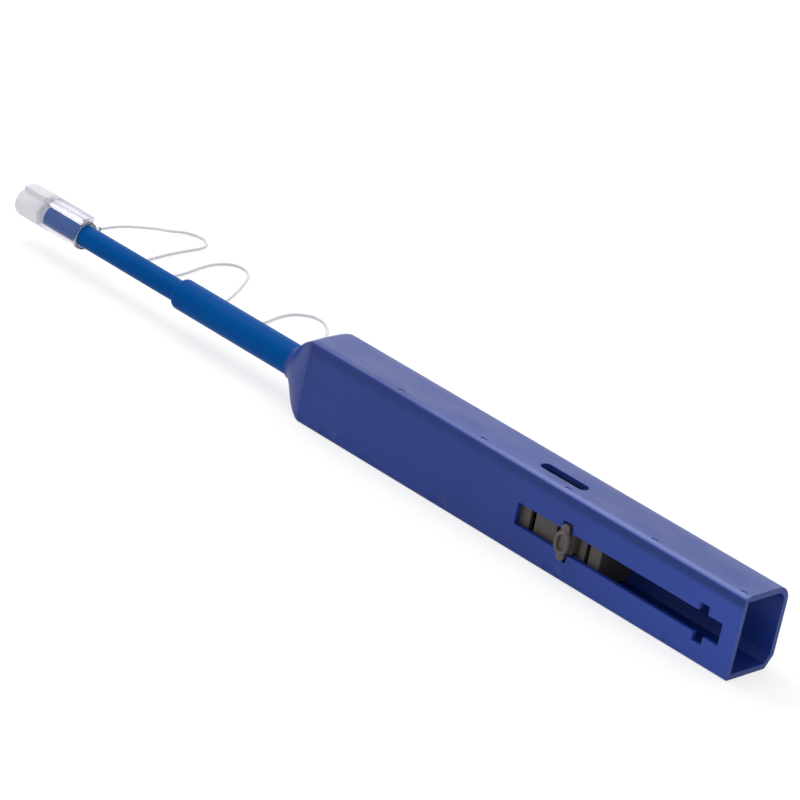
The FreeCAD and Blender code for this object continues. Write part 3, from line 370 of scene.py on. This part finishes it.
sleeve_low, sleeve_high = corners("outer_sleeve")
cover_low = corners("side_cover")[0]
travels = {row["name"]: 1000 * row["range_m"][1] for row in frame["joints"] if "range_m" in row}
near, far, top = float(cover_low[1]), -float(cover_low[1]), float(sleeve_high[2])
taper, rear, nose_tip = float(cover_low[0]), float(sleeve_high[0]), float(sleeve_low[0])
seam = near + WALL
notch_places = (BUTTON_PLACE, BUTTON_PLACE + travels["carriage_slide"])
slot_low, slot_high = AXIS - SLOT_HALF_HEIGHT, AXIS + SLOT_HALF_HEIGHT
slot_front, slot_rear = notch_places[0] - SLOT_LEAD, notch_places[1] + SLOT_TAIL
notch_low, notch_high = AXIS - NOTCH_HALF_HEIGHT, AXIS + NOTCH_HALF_HEIGHT
notches = [(x - NOTCH_HALF_WIDTH, x + NOTCH_HALF_WIDTH) for x in notch_places]
tab_places = [rear - TAB_SETBACK - TAB_PITCH * k for k in range(TAB_COUNT)]
pockets = [(x - TAB_HALF_WIDTH, x + TAB_HALF_WIDTH) for x in tab_places]
window_place = rear - WINDOW_SETBACK
marks = MARK_LEAD - rear + MARK_PITCH * np.arange(MARK_COUNT)


def corner(y, z, radius, start, steps):
    """Points on a quarter circle round (y, z), from a start angle, going clockwise."""
    angle = math.radians(start) - np.linspace(0, np.pi / 2, steps + 1)
    return np.column_stack([y + radius * np.cos(angle), z + radius * np.sin(angle)])


def outline(inset):
    """The section of the case in (y, z), moved in by the inset: up the slot side, over the top, down the far
    side and its chamfer, and back along the bottom. Each side has as many points for every inset."""
    n, f, t, b = near + inset, far - inset, top - inset, inset
    edge = max(EDGE_ROUND - inset, LEAST_ROUND)
    high = max(TOP_ROUND - inset, LEAST_ROUND)
    slope = CHAMFER[1] / CHAMFER[0]
    foot = far - CHAMFER[0] - inset * math.hypot(*CHAMFER) / CHAMFER[1] + inset / slope
    rise = [1.1, 1.7, 2.4, 3.2, 4.0, notch_low, slot_low, 9.4, 11.4, slot_high, notch_high, 18.5, 21.0]
    over = np.array([seam, seam + TAB_REACH, -4.8, -4.0, -3.2, -2.4, -1.6, -0.8, 0.0, 3.0])
    sides = [
        corner(n + edge, b + edge, edge, 270, 4),
        np.column_stack([np.full(len(rise), n), np.clip(rise, b + edge, t - edge)]),
        corner(n + edge, t - edge, edge, 180, 4),
        np.column_stack([np.clip(over, n + edge, f - high), np.full(len(over), t)]),
        corner(f - high, t - high, high, 90, 8),
        [(f, 15.0), (f, 10.0), (f, 6.0), (f, b + (f - foot) * slope), (foot, b), (3.0, b), (-2.0, b)],
        np.column_stack([np.clip(over[1::-1], n + edge, f), np.full(2, b)]),
    ]
    return np.concatenate(sides)


def stations(exact, filling, least=0.35):
    """Sorted places along the case: every exact one, and each filling one that isn't too near those kept."""
    kept = sorted(set(exact))
    for x in filling:
        if min(abs(x - k) for k in kept) >= least:
            kept.append(float(x))
    return np.sort(np.array(kept))


exact = [taper, rear, slot_front, slot_rear, window_place - WINDOW_FIELD, window_place + WINDOW_FIELD]
exact += [x for pair in notches + pockets for x in pair]
filling = [x + away for x in marks for away in (-MARK_FIELD, MARK_FIELD)]
filling += [x + away for x in marks for away in np.linspace(-3.0, 3.0, 11)]
for ends in ((-WINDOW_FIELD, -5.0), (5.0, WINDOW_FIELD)):
    filling += list(window_place + np.linspace(*ends, 7))
filling += list(np.arange(taper, rear, 6.0))
along = stations(exact, filling)

profile = outline(0)
radial = profile - (0, AXIS)
radial /= np.linalg.norm(radial, axis=1)[:, None]
collar_radius, bore_radius = 5.0, 4.6
part = np.linspace(0, 1, 17)[:-1]
nose_x = nose_tip + (taper - nose_tip) * part
collar_share = np.minimum((1 - part) / 0.9, 1)[:, None, None] ** 1.45
collar = radial * collar_radius + (0, AXIS)
nose_outer = (1 - collar_share) * profile + collar_share * collar
bore_x = nose_tip + (taper - nose_tip) * part / part[-1]


def raised(x, sections):
    """Sections in (y, z), each set at its place along the case."""
    sections = np.broadcast_to(sections, (len(x),) + np.shape(sections)[-2:])
    places = np.broadcast_to(np.reshape(x, (-1, 1, 1)), sections.shape[:2] + (1,))
    return np.concatenate([places, sections], -1)


outer = np.concatenate([raised(nose_x, nose_outer), raised(along, profile)])
inner = np.concatenate([raised(bore_x, radial * bore_radius + (0, AXIS)), raised(along, outline(WALL))])
rows, around = outer.shape[:2]
number = np.arange(rows * around).reshape(rows, around)
cell_x = np.concatenate([nose_x + 0.3, (along[:-1] + along[1:]) / 2])
middle = (profile + np.roll(profile, -1, axis=0)) / 2
in_cover = (middle[:, 0] < seam)[None] & (cell_x > taper)[:, None]


def block(x0, x1, low, high, across, level):
    """Says which cells of the case lie between two places along it and two across it, on one flat side."""
    level_with = np.abs(middle[:, 1 - across] - level) < 0.01
    between = (middle[:, across] > low) & (middle[:, across] < high)
    return ((cell_x > x0) & (cell_x < x1))[:, None] & (level_with & between)[None]


def border(cells):
    """The point numbers round a rectangular block of cells, in order."""
    i, j = np.nonzero(cells)
    field = number[i.min() : i.max() + 2, j.min() : j.max() + 2]
    return np.concatenate([field[0, :-1], field[:-1, -1], field[-1, :0:-1], field[:0:-1, 0]])


def ring(a, b):
    """The faces between two closed loops of as many points."""
    return np.stack([a, np.roll(a, -1), np.roll(b, -1), b], -1)


def walled(solid, outer_left, inner_left):
    """Both skins of the case over its solid cells, and the edges where solid cells end. Solid cells that are
    left out of a skin get their faces from what fills them."""
    right = np.roll(number, -1, axis=1)
    cells = np.stack([number[:-1], right[:-1], right[1:], number[1:]], -1)
    lift = rows * around
    ends = np.pad(solid, ((1, 1), (0, 0)))
    ends = ends[1:] != ends[:-1]
    sides = solid != np.roll(solid, 1, axis=1)
    a = np.concatenate([number[ends], number[:-1][sides]])
    b = np.concatenate([right[ends], number[1:][sides]])
    edges = np.stack([a, b, b + lift, a + lift], -1)
    return np.concatenate([cells[solid & ~outer_left], cells[solid & ~inner_left] + lift, edges])


skins = np.concatenate([outer.reshape(-1, 3), inner.reshape(-1, 3)])
brick = np.array([(0, 1, 3, 2), (4, 6, 7, 5), (0, 4, 5, 1), (2, 3, 7, 6), (0, 2, 6, 4), (1, 5, 7, 3)])
nothing = np.zeros((rows - 1, around), bool)

# The body: its window has round ends, each point of the opening drawn towards the window's middle line
window_cells = block(window_place - WINDOW_FIELD, window_place + WINDOW_FIELD, *WINDOW_BAND, 0, top)
pocket_cells = nothing.copy()
for x0, x1 in pockets:
    for level in (top, 0.0):
        pocket_cells |= block(x0, x1, seam, seam + TAB_REACH, 0, level)
loop = border(window_cells)
spine_x = np.clip(skins[loop, 0], window_place - WINDOW_REACH, window_place + WINDOW_REACH)
spine = np.column_stack([spine_x, np.full(len(loop), WINDOW_MIDDLE)])
out = skins[loop, :2] - spine
rim = spine + WINDOW_RADIUS * out / np.linalg.norm(out, axis=1)[:, None]
count = len(skins)
upper, lower = count + np.arange(len(loop)), count + len(loop) + np.arange(len(loop))
rims = [np.column_stack([rim, np.full(len(rim), z)]) for z in (top, top - WALL)]
body_points = np.concatenate([skins, *rims])
body_faces = np.concatenate(
    [
        walled(~in_cover & ~pocket_cells, window_cells, window_cells),
        ring(loop, upper),
        ring(upper, lower),
        ring(lower, loop + rows * around),
    ]
)

# The cover: slot and notches are open, and each half-moon mark is sunk from the skin
open_cells = block(slot_front, slot_rear, slot_low, slot_high, 1, near)
for x0, x1 in notches:
    open_cells |= block(x0, x1, notch_low, notch_high, 1, near)
mark_cells = nothing.copy()
cover_points, extra = [skins], []
count = len(skins)
for x in marks:
    cells = block(x - MARK_FIELD - 0.01, x + MARK_FIELD + 0.01, 0.6, 4.0, 1, near)
    mark_cells |= cells
    loop = border(cells)
    heart = np.array((x, MARK_HEIGHT))
    out = skins[loop][:, [0, 2]] - heart
    out /= np.linalg.norm(out, axis=1)[:, None]
    fall = MARK_DROP * out[:, 1]
    arc = -fall + np.sqrt(fall**2 - MARK_DROP**2 + MARK_RADIUS**2)
    flat = MARK_DROP / np.maximum(-out[:, 1], 1e-6)
    edge = np.minimum(arc, flat)[:, None] * out + heart
    for depth, shrink in ((0.0, 0.0), (MARK_DEPTH, MARK_SLOPE)):
        sunk = edge - shrink * out
        cover_points.append(np.column_stack([sunk[:, 0], np.full(len(sunk), near + depth), sunk[:, 1]]))
    cover_points.append([(x, near + MARK_DEPTH, heart[1])])
    top_ring = count + np.arange(len(loop))
    low_ring = top_ring + len(loop)
    centre = np.full(len(loop), count + 2 * len(loop))
    extra += [ring(loop, top_ring), ring(top_ring, low_ring), ring(low_ring, centre)]
    count += 2 * len(loop) + 1
tab_y = (seam - 0.2, seam + 0.88)
for x0, x1 in pockets:
    for tab_z in ((top - WALL, top - TAB_SUNK), (TAB_SUNK, WALL)):
        x, y, z = np.meshgrid((x0 + TAB_GAP, x1 - TAB_GAP), tab_y, tab_z, indexing="ij")
        cover_points.append(np.column_stack([x.ravel(), y.ravel(), z.ravel()]))
        extra.append(count + brick)
        count += 8
cover_faces = np.concatenate([walled(in_cover & ~open_cells, mark_cells, nothing), *extra])


def moulded(name, light, deep, roughness, grain, depth, wave=0.0, gleam=0.5):
    """A moulded plastic: two close shades in soft clouds, a gloss that varies a little, a fine grain, and the
    long shallow waves that a large flat moulding cools with."""
    made, tree, shader, place = surface(name)
    long = add(tree, "ShaderNodeMapping", {"Vector": place, "Scale": (0.35, 1.0, 1.0)}).outputs[0]
    cloud = noise(tree, long, 55.0, 3.0, roughness=0.55)
    spread = add(tree, "ShaderNodeMapRange", {"Value": cloud, "From Min": 0.3, "From Max": 0.7})
    shaded(tree, shader, spread.outputs[0], light, deep)
    smear = {"Value": noise(tree, long, 240.0, 4.0), "From Min": 0.3, "From Max": 0.7}
    gloss = {**smear, "To Min": roughness - 0.05, "To Max": roughness + 0.06}
    tree.links.new(add(tree, "ShaderNodeMapRange", gloss).outputs[0], shader.inputs["Roughness"])
    fine = {"Height": noise(tree, place, grain, 3.0), "Strength": 0.35, "Distance": depth}
    relief = add(tree, "ShaderNodeBump", fine).outputs[0]
    if wave:
        swell = {"Height": noise(tree, long, 90.0, 1.0), "Strength": 0.5, "Distance": wave, "Normal": relief}
        relief = add(tree, "ShaderNodeBump", swell).outputs[0]
    tree.links.new(relief, shader.inputs["Normal"])
    finished(shader, Specular_IOR_Level=gleam)
    return made


def eased(made, width, steps=2, limit=32):
    """Rounds a piece's edges sharper than a limit in degrees, by a width in millimetres, as a mould does."""
    bevel = made.modifiers.new("eased_edges", "BEVEL")
    bevel.width = width / 1000
    bevel.segments = steps
    bevel.limit_method = "ANGLE"
    bevel.angle_limit = math.radians(limit)
    bevel.use_clamp_overlap = False
    bevel.harden_normals = True
    bevel.miter_outer = "MITER_ARC"
    return made


def made_of(finish, *nodes):
    """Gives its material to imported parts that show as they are."""
    for node in nodes:
        materials = frame["nodes"][node].data.materials
        materials.clear()
        materials.append(finish)


case_shades = (0.016, 0.046, 0.270), (0.012, 0.036, 0.225)
case_blue = moulded("sleeve_blue", *case_shades, 0.34, 2200.0, 1.2e-5, wave=1.8e-5, gleam=0.24)
case_tree = case_blue.node_tree
case_shader = case_tree.nodes["Principled BSDF"]
case_place = add(case_tree, "ShaderNodeTexCoord").outputs["Object"]
case_spot = add(case_tree, "ShaderNodeSeparateXYZ", {0: case_place})


def case_share(axis, start, end):
    """Rises smoothly from 0 at one place along an axis, in millimetres, to 1 at another."""
    span = {"Value": case_spot.outputs[axis], "From Min": start / 1000, "From Max": end / 1000}
    return add(case_tree, "ShaderNodeMapRange", span, interpolation_type="SMOOTHSTEP").outputs[0]


def tinted(shares, colour):
    """Lays a colour over the case's own, as strong as its shares multiplied together."""
    strength = shares[0]
    for share in shares[1:]:
        strength = add(case_tree, "ShaderNodeMath", {0: strength, 1: share}, operation="MULTIPLY").outputs[0]
    under = case_shader.inputs["Base Color"].links[0].from_socket
    over = add(case_tree, "ShaderNodeMix", {"Factor": strength, 6: under, 7: (*colour, 1)}, data_type="RGBA")
    case_tree.links.new(over.outputs[2], case_shader.inputs["Base Color"])


# Painted light on the slot side: it is paler towards the open end, with painted shade just under its top
# edge and a painted highlight along the edge itself, brighter towards the rear
slot_side = case_share(1, near + 1.0, near + 0.3)
# Painted light: the slot side grows paler towards the open end
tinted([slot_side, case_share(0, -20.0, rear)], (0.026, 0.066, 0.370))
# Painted shade: the slot side is darker just under its top edge
painted_shade_under_edge = [slot_side, case_share(2, top - 4.0, top - 2.0), case_share(2, top - 0.4, top - 1.0)]
tinted(painted_shade_under_edge, (0.006, 0.030, 0.190))
# Painted highlight along the slot side's top edge, brighter towards the rear
painted_edge_highlight = [case_share(1, near + 2.4, near + 1.4), case_share(2, top - 0.6, top - 0.2)]
tinted([*painted_edge_highlight, case_share(0, -70.0, 30.0)], (0.120, 0.160, 0.460))
sleeve = eased(piece("sleeve_body", body_points, body_faces, case_blue), 0.14)
cover = eased(piece("sleeve_side_cover", np.concatenate(cover_points), cover_faces, case_blue), 0.14)
for made, node in ((sleeve, "outer_sleeve"), (cover, "side_cover")):
    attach(made, "sleeve")
    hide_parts(node)
made_of(case_blue, "tether_anchor")


# ---- Nozzle ----
# The extending nozzle: a thick barrel that slides in the nose and a thinner tip tube set into it, both
# moulded in bright blue nylon, with a softly rounded step between them.
BARREL_RADIUS, BARREL_BORE = 4.4, 3.12
FLANGE_PLACE, FLANGE_WIDTH, FLANGE_RADIUS = 60.5, 2.0, 5.3
TAIL_RADIUS = 3.2
TUBE_RADIUS, TUBE_BORE = 3.1, 1.9


def turned(profile_points, around=72):
    """A closed (x, radius) profile turned about the pen's axis: each point at radius times (cos a, sin a)."""
    profile_points = np.array(profile_points + profile_points[:1], float)
    angle = 2 * np.pi * np.arange(around) / around
    x = np.broadcast_to(profile_points[:, :1], (len(profile_points), around))
    radius = profile_points[:, 1:]
    grid = np.stack([x, radius * np.cos(angle), AXIS + radius * np.sin(angle)], -1)
    return grid.reshape(-1, 3), quads(len(profile_points), around)


nozzle_shades = (0.0005, 0.082, 0.325), (0.0005, 0.070, 0.285)
nozzle_blue = moulded("nozzle_blue", *nozzle_shades, 0.32, 2600.0, 8e-6, gleam=0.02)
step, tail = (float(corner[0]) for corner in corners("nozzle_barrel"))
tube_front, tube_back = (float(corner[0]) for corner in corners("nozzle_tip_tube"))
flange = step + FLANGE_PLACE
barrel_profile = [
    (step, BARREL_BORE),
    (step, 3.4),
    (step + 0.12, 3.66),
    (step + 0.9, 4.28),
    (step + 1.2, 4.38),
    (step + 1.6, BARREL_RADIUS),
    (flange, BARREL_RADIUS),
    (flange, FLANGE_RADIUS),
    (flange + FLANGE_WIDTH, FLANGE_RADIUS),
    (flange + FLANGE_WIDTH, TAIL_RADIUS),
    (tail, TAIL_RADIUS),
    (tail, TUBE_BORE),
    (flange - 1.0, TUBE_BORE),
    (flange - 2.0, BARREL_BORE),
]
tube_front_edge = [(tube_front, TUBE_BORE), (tube_front, TUBE_RADIUS)]
tube_back_edge = [(tube_back, TUBE_RADIUS), (tube_back, TUBE_BORE)]
barrel = piece("nozzle_barrel_skin", *turned(barrel_profile), nozzle_blue)
tube = piece("nozzle_tube_skin", *turned(tube_front_edge + tube_back_edge), nozzle_blue)
for made, node in ((barrel, "nozzle_barrel"), (tube, "nozzle_tip_tube")):
    eased(made, 0.15)
    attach(made, "nozzle")
    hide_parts(node)

# ---- Guide cap ----
# The loose cap over the nozzle's end: clear polypropylene, frosted by its mould, with a port for a ferrule
# in its solid front, an open rear, a rib along its top, and a lug that the tether is moulded into.
CAP_RADIUS, CAP_BORE, CAP_ROUND, CAP_EASE = 4.2, 3.2, 1.4, 0.2
PORT_LENGTH, PORT_RADIUS, PORT_MOUTH_RADIUS, PORT_MOUTH_DEPTH = 9.0, 1.27, 1.6, 0.33
LUG_REACH, LUG_GAP, LUG_FOOT, LUG_HALF_HEIGHT = 2.4, 0.1, 3.9, 1.0
RIB_START, RIB_HALF_WIDTH, RIB_FOOT = 1.4, 2.2, 0.9
cap_low, cap_high = corners("guide_cap")
cap_front, cap_rear = float(cap_low[0]), float(cap_high[0])
turn_in = np.linspace(0, np.pi / 2, 8)
round_x = [cap_front + CAP_ROUND * (1 - math.cos(a)) for a in turn_in]
round_radius = [CAP_RADIUS - CAP_ROUND * (1 - math.sin(a)) for a in turn_in]
cap_profile = [
    (cap_front, PORT_MOUTH_RADIUS),
    *zip(round_x, round_radius),
    (cap_rear - CAP_EASE, CAP_RADIUS),
    (cap_rear, CAP_RADIUS - CAP_EASE),
    (cap_rear, CAP_BORE + CAP_EASE),
    (cap_rear - CAP_EASE, CAP_BORE),
    (cap_front + PORT_LENGTH + CAP_EASE, CAP_BORE),
    (cap_front + PORT_LENGTH, CAP_BORE - CAP_EASE),
    (cap_front + PORT_LENGTH, PORT_RADIUS),
    (cap_front + PORT_MOUTH_DEPTH, PORT_RADIUS),
]
cap_points, cap_faces = turned(cap_profile)
lug_along = (cap_rear - LUG_REACH, cap_rear - LUG_GAP)
lug_up = (LUG_HEIGHT - LUG_HALF_HEIGHT, LUG_HEIGHT + LUG_HALF_HEIGHT)
lug_box = (lug_along, (LUG_FOOT, float(cap_high[1])), lug_up)
rib_across = (-RIB_HALF_WIDTH, RIB_HALF_WIDTH)
rib_box = ((cap_front + RIB_START, cap_rear), rib_across, (AXIS + CAP_RADIUS - RIB_FOOT, float(cap_high[2])))
blocks = [np.stack(np.meshgrid(*ends, indexing="ij"), -1).reshape(-1, 3) for ends in (lug_box, rib_box)]
frosted, frosted_tree, frosted_shader, place = surface("frosted_polypropylene")
haze = noise(frosted_tree, place, 260.0, 3.0)
shaded(frosted_tree, frosted_shader, haze, (0.84, 0.84, 0.89), (0.92, 0.92, 0.96))
# The solid front is milky; the thin sleeve behind it is nearly clear, with faint streaks along its length
forward = add(frosted_tree, "ShaderNodeSeparateXYZ", {0: place}).outputs[0]
front_end, clear_start = cap_front / 1000 + 0.0085, cap_front / 1000 + 0.0115
fade = {"Value": forward, "From Min": front_end, "From Max": clear_start}
clear = add(frosted_tree, "ShaderNodeMapRange", fade, interpolation_type="SMOOTHSTEP").outputs[0]
through = add(frosted_tree, "ShaderNodeMapRange", {"Value": clear, "To Min": 0.35, "To Max": 0.97}).outputs[0]
frosted_tree.links.new(through, frosted_shader.inputs["Transmission Weight"])
stretched = add(frosted_tree, "ShaderNodeMapping", {"Vector": place, "Scale": (0.15, 1.0, 1.0)}).outputs[0]
streaks = {"Value": noise(frosted_tree, stretched, 900.0, 2.0), "To Min": 0.08, "To Max": 0.22}
clear_gloss = add(frosted_tree, "ShaderNodeMapRange", streaks).outputs[0]
gloss = add(frosted_tree, "ShaderNodeMix", {"Factor": clear, 2: 0.45, 3: clear_gloss})
frosted_tree.links.new(gloss.outputs[0], frosted_shader.inputs["Roughness"])
grained(frosted_tree, frosted_shader, noise(frosted_tree, place, 3200.0, 2.0), 0.15, 4e-6)
finished(frosted_shader, IOR=1.18, Specular_IOR_Level=0.3)
cap = piece(
    "guide_cap_shell",
    np.concatenate([cap_points, *blocks]),
    np.concatenate([cap_faces] + [brick + len(cap_points) + 8 * k for k in range(len(blocks))]),
    frosted,
)
eased(cap, 0.3, steps=4)
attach(cap, "cap")
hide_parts("guide_cap")

# ---- Carriage ----
# The black inner case that slides in the sleeve, moulded in two halves that shut over the works. Its face,
# with two upright gaps, shows through the slot.
case_black = moulded("carriage_black", (0.072, 0.060, 0.056), (0.046, 0.039, 0.037), 0.50, 1700.0, 2.5e-5)
made_of(case_black, "carriage_frame", "carriage_cover")

# ---- Lock button ----
# The button that locks the carriage long or short: an oval ring on two ears, with a stem and a keeper plate
# inside the carriage, all moulded in one in dark grey plastic.
RING = (4.8, 6.4)
RING_HOLE = (2.4, 4.2)
EAR_WIDTH, EAR_GAP = 2.7, 0.4
STEM_HALF_WIDTH, STEM_HALF_HEIGHT = 2.4, 2.75
KEEPER_DEPTH, KEEPER_THICKNESS, KEEPER_OVERLAP = 3.12, 0.9, 0.8
PILOT = 2.7


def oval(width, height, steps=14):
    """An upright oval round the button's middle, in (x, z): two half circles joined by straight sides."""
    half = np.linspace(0, np.pi, steps + 1)
    straight = height / 2 - width / 2
    above = np.column_stack([width / 2 * np.cos(half), straight + width / 2 * np.sin(half)])
    return np.concatenate([above, -above]) + (BUTTON_PLACE, AXIS)


def plate(x0, x1, z0, z1, ease):
    """A rectangle in (x, z) with small round corners."""
    quarter = np.linspace(0, np.pi / 2, 4)
    turn = np.concatenate([quarter + k * np.pi / 2 for k in range(4)])
    cx = np.repeat([x1 - ease, x0 + ease, x0 + ease, x1 - ease], 4)
    cz = np.repeat([z1 - ease, z1 - ease, z0 + ease, z0 + ease], 4)
    return np.column_stack([cx + ease * np.cos(turn), cz + ease * np.sin(turn)])


def stacked(layers):
    """A closed block of outlines in (x, z), each at its depth y, closed at both ends by their middles."""
    (first, front), (last, back) = layers[0], layers[-1]
    front_middle = np.broadcast_to(first.mean(axis=0), first.shape)
    back_middle = np.broadcast_to(last.mean(axis=0), last.shape)
    loops = [(front_middle, front), *layers, (back_middle, back)]
    grid = np.stack([np.column_stack([loop[:, 0], np.full(len(loop), y), loop[:, 1]]) for loop, y in loops])
    return grid.reshape(-1, 3), quads(len(loops), len(first))


button_low, button_high = corners("lock_button")
knob_front, ear_back = float(button_low[1]), near - 0.2
keeper_front, pilot_end = near + KEEPER_DEPTH, float(button_high[1])
stem_end = keeper_front + 0.1
ears = notch_high - notch_low - EAR_GAP
keeper = (float(button_low[0]), float(button_high[0]), slot_low - KEEPER_OVERLAP, slot_high + KEEPER_OVERLAP)
stem_along = (BUTTON_PLACE - STEM_HALF_WIDTH, BUTTON_PLACE + STEM_HALF_WIDTH)
stem = plate(*stem_along, AXIS - STEM_HALF_HEIGHT, AXIS + STEM_HALF_HEIGHT, 0.25)
ring_layers = [
    (oval(*RING_HOLE), near + 0.6),
    (oval(*RING_HOLE), knob_front + 0.4),
    (oval(2.7, 4.5), knob_front + 0.1),
    (oval(3.2, 4.9), knob_front),
    (oval(3.8, 5.5), knob_front),
    (oval(4.4, 6.0), knob_front + 0.18),
    (oval(*RING), knob_front + 0.55),
    (oval(*RING), ear_back),
    (oval(4.6, 5.4), ear_back),
    (oval(4.6, 5.4), near + 0.75),
]
ear_layers = [
    (oval(2.0, ears - 0.7), ear_back - 0.75),
    (oval(2.5, ears - 0.2), ear_back - 0.68),
    (oval(EAR_WIDTH, ears), ear_back - 0.48),
    (oval(EAR_WIDTH, ears), ear_back - 0.08),
    (oval(2.54, ears - 0.16), ear_back),
]
pilot_layers = [(oval(PILOT, PILOT), y) for y in (keeper_front + 0.8, pilot_end - 0.15)]
shells = [
    stacked(ring_layers),
    stacked(ear_layers),
    stacked([(stem, y) for y in (near + 0.65, stem_end)]),
    stacked([(plate(*keeper, 0.3), y) for y in (keeper_front, keeper_front + KEEPER_THICKNESS)]),
    stacked([*pilot_layers, (oval(2.4, 2.4), pilot_end)]),
]
button_grey = moulded("button_grey", (0.095, 0.080, 0.076), (0.070, 0.058, 0.055), 0.42, 1900.0, 2e-5)
starts = np.cumsum([0] + [len(points) for points, _ in shells])
button = piece(
    "lock_button_body",
    np.concatenate([points for points, _ in shells]),
    np.concatenate([faces + start for (_, faces), start in zip(shells, starts)]),
    button_grey,
)
eased(button, 0.08, limit=50)
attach(button, "button")
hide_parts("lock_button")

# ---- Works inside the carriage ----
# Spools, gear, ratchet, rack and shaft are natural acetal; axles, roller and follower are ground steel
# pins; the two springs and the pawl are spring steel; the cleaning thread is white microfibre.
acetal = moulded("natural_acetal", (0.70, 0.69, 0.62), (0.62, 0.61, 0.54), 0.40, 2400.0, 1e-5)


def metal(name, colour, roughness, streak):
    """Bare steel with fine marks of its drawing or grinding, stretched along the pen or across it."""
    made, tree, shader, place = surface(name)
    stretched = add(tree, "ShaderNodeMapping", {"Vector": place, "Scale": streak}).outputs[0]
    lines = noise(tree, stretched, 1500.0, 3.0)
    shaded(tree, shader, lines, colour, [0.8 * c for c in colour])
    gloss = {"Value": lines, "To Min": roughness - 0.08, "To Max": roughness + 0.1}
    tree.links.new(add(tree, "ShaderNodeMapRange", gloss).outputs[0], shader.inputs["Roughness"])
    finished(shader, Metallic=1.0)
    return made


spring_steel = metal("spring_steel", (0.50, 0.50, 0.49), 0.30, (1.0, 0.3, 0.3))
pin_steel = metal("ground_steel", (0.62, 0.62, 0.61), 0.22, (0.3, 1.0, 1.0))


def coil(start, axis, length, radius, wire, turns, around=8):
    """A spring's wire. Its middle line goes round an axis at the radius while it advances evenly, and each
    ring of the wire is spanned by the outward direction and the axis."""
    share = np.linspace(0, 1, 24 * turns + 1)[:, None]
    turn = 2 * np.pi * turns * share
    main, one, other = np.roll(np.eye(3), -axis, axis=0)
    radial = np.cos(turn) * one + np.sin(turn) * other
    middle_line = np.array(start) + radius * radial + share * length * main
    angle = 2 * np.pi * np.arange(around)[None, :, None] / around
    rings = middle_line[:, None] + wire / 2 * (np.cos(angle) * radial[:, None] + np.sin(angle) * main)
    ends = [np.repeat(middle_line[[k], None], around, axis=1) for k in (0, -1)]
    grid = np.concatenate([ends[0], rings, ends[1]])
    return grid.reshape(-1, 3), quads(len(grid), around)


# Each spring is wound over the length of its imported part, listed with its fixed seat and its joint
for name, axis, radius, wire, turns, seat, joint in (
    ("return_spring", 0, 4.3, 0.7, 5, -52.0, "nozzle_stroke"),
    ("button_spring", 1, 1.65, 0.45, 4, 2.7, "button_press"),
):
    low, high = corners(name)
    start = np.array([BUTTON_PLACE, 0.0, AXIS])
    start[axis] = low[axis] + wire / 2
    shape = coil(start, axis, high[axis] - low[axis] - wire, radius, wire, turns)
    spring = piece(f"{name}_wire", *shape, spring_steel)
    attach(spring, "carriage")
    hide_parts(name)
    fixed = np.zeros(3)
    fixed[axis] = seat / 1000
    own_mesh(spring)

# Fine strands wound side by side, with a soft dull nap
fibre, fibre_tree, fibre_shader, place = surface("microfibre")
weave = {"Vector": place, "Scale": 1100.0, "Distortion": 2.0, "Detail": 2.0}
strands = add(fibre_tree, "ShaderNodeTexWave", weave, bands_direction="DIAGONAL").outputs[1]
shaded(fibre_tree, fibre_shader, strands, (0.70, 0.70, 0.68), (0.88, 0.88, 0.86))
grained(fibre_tree, fibre_shader, strands, 0.5, 5e-5)
finished(fibre_shader, Roughness=0.85, Sheen_Weight=0.3)

made_of(acetal, "nozzle_rack", "rotation_shaft", "cleaning_tip", "drive_gear", "ratchet_wheel")
made_of(acetal, "take_up_spool", "supply_spool")
made_of(pin_steel, "supply_axle", "take_up_axle", "thread_roller", "cam_follower")
made_of(spring_steel, "ratchet_pawl")
made_of(fibre, "cleaning_thread", "supply_thread", "take_up_thread")
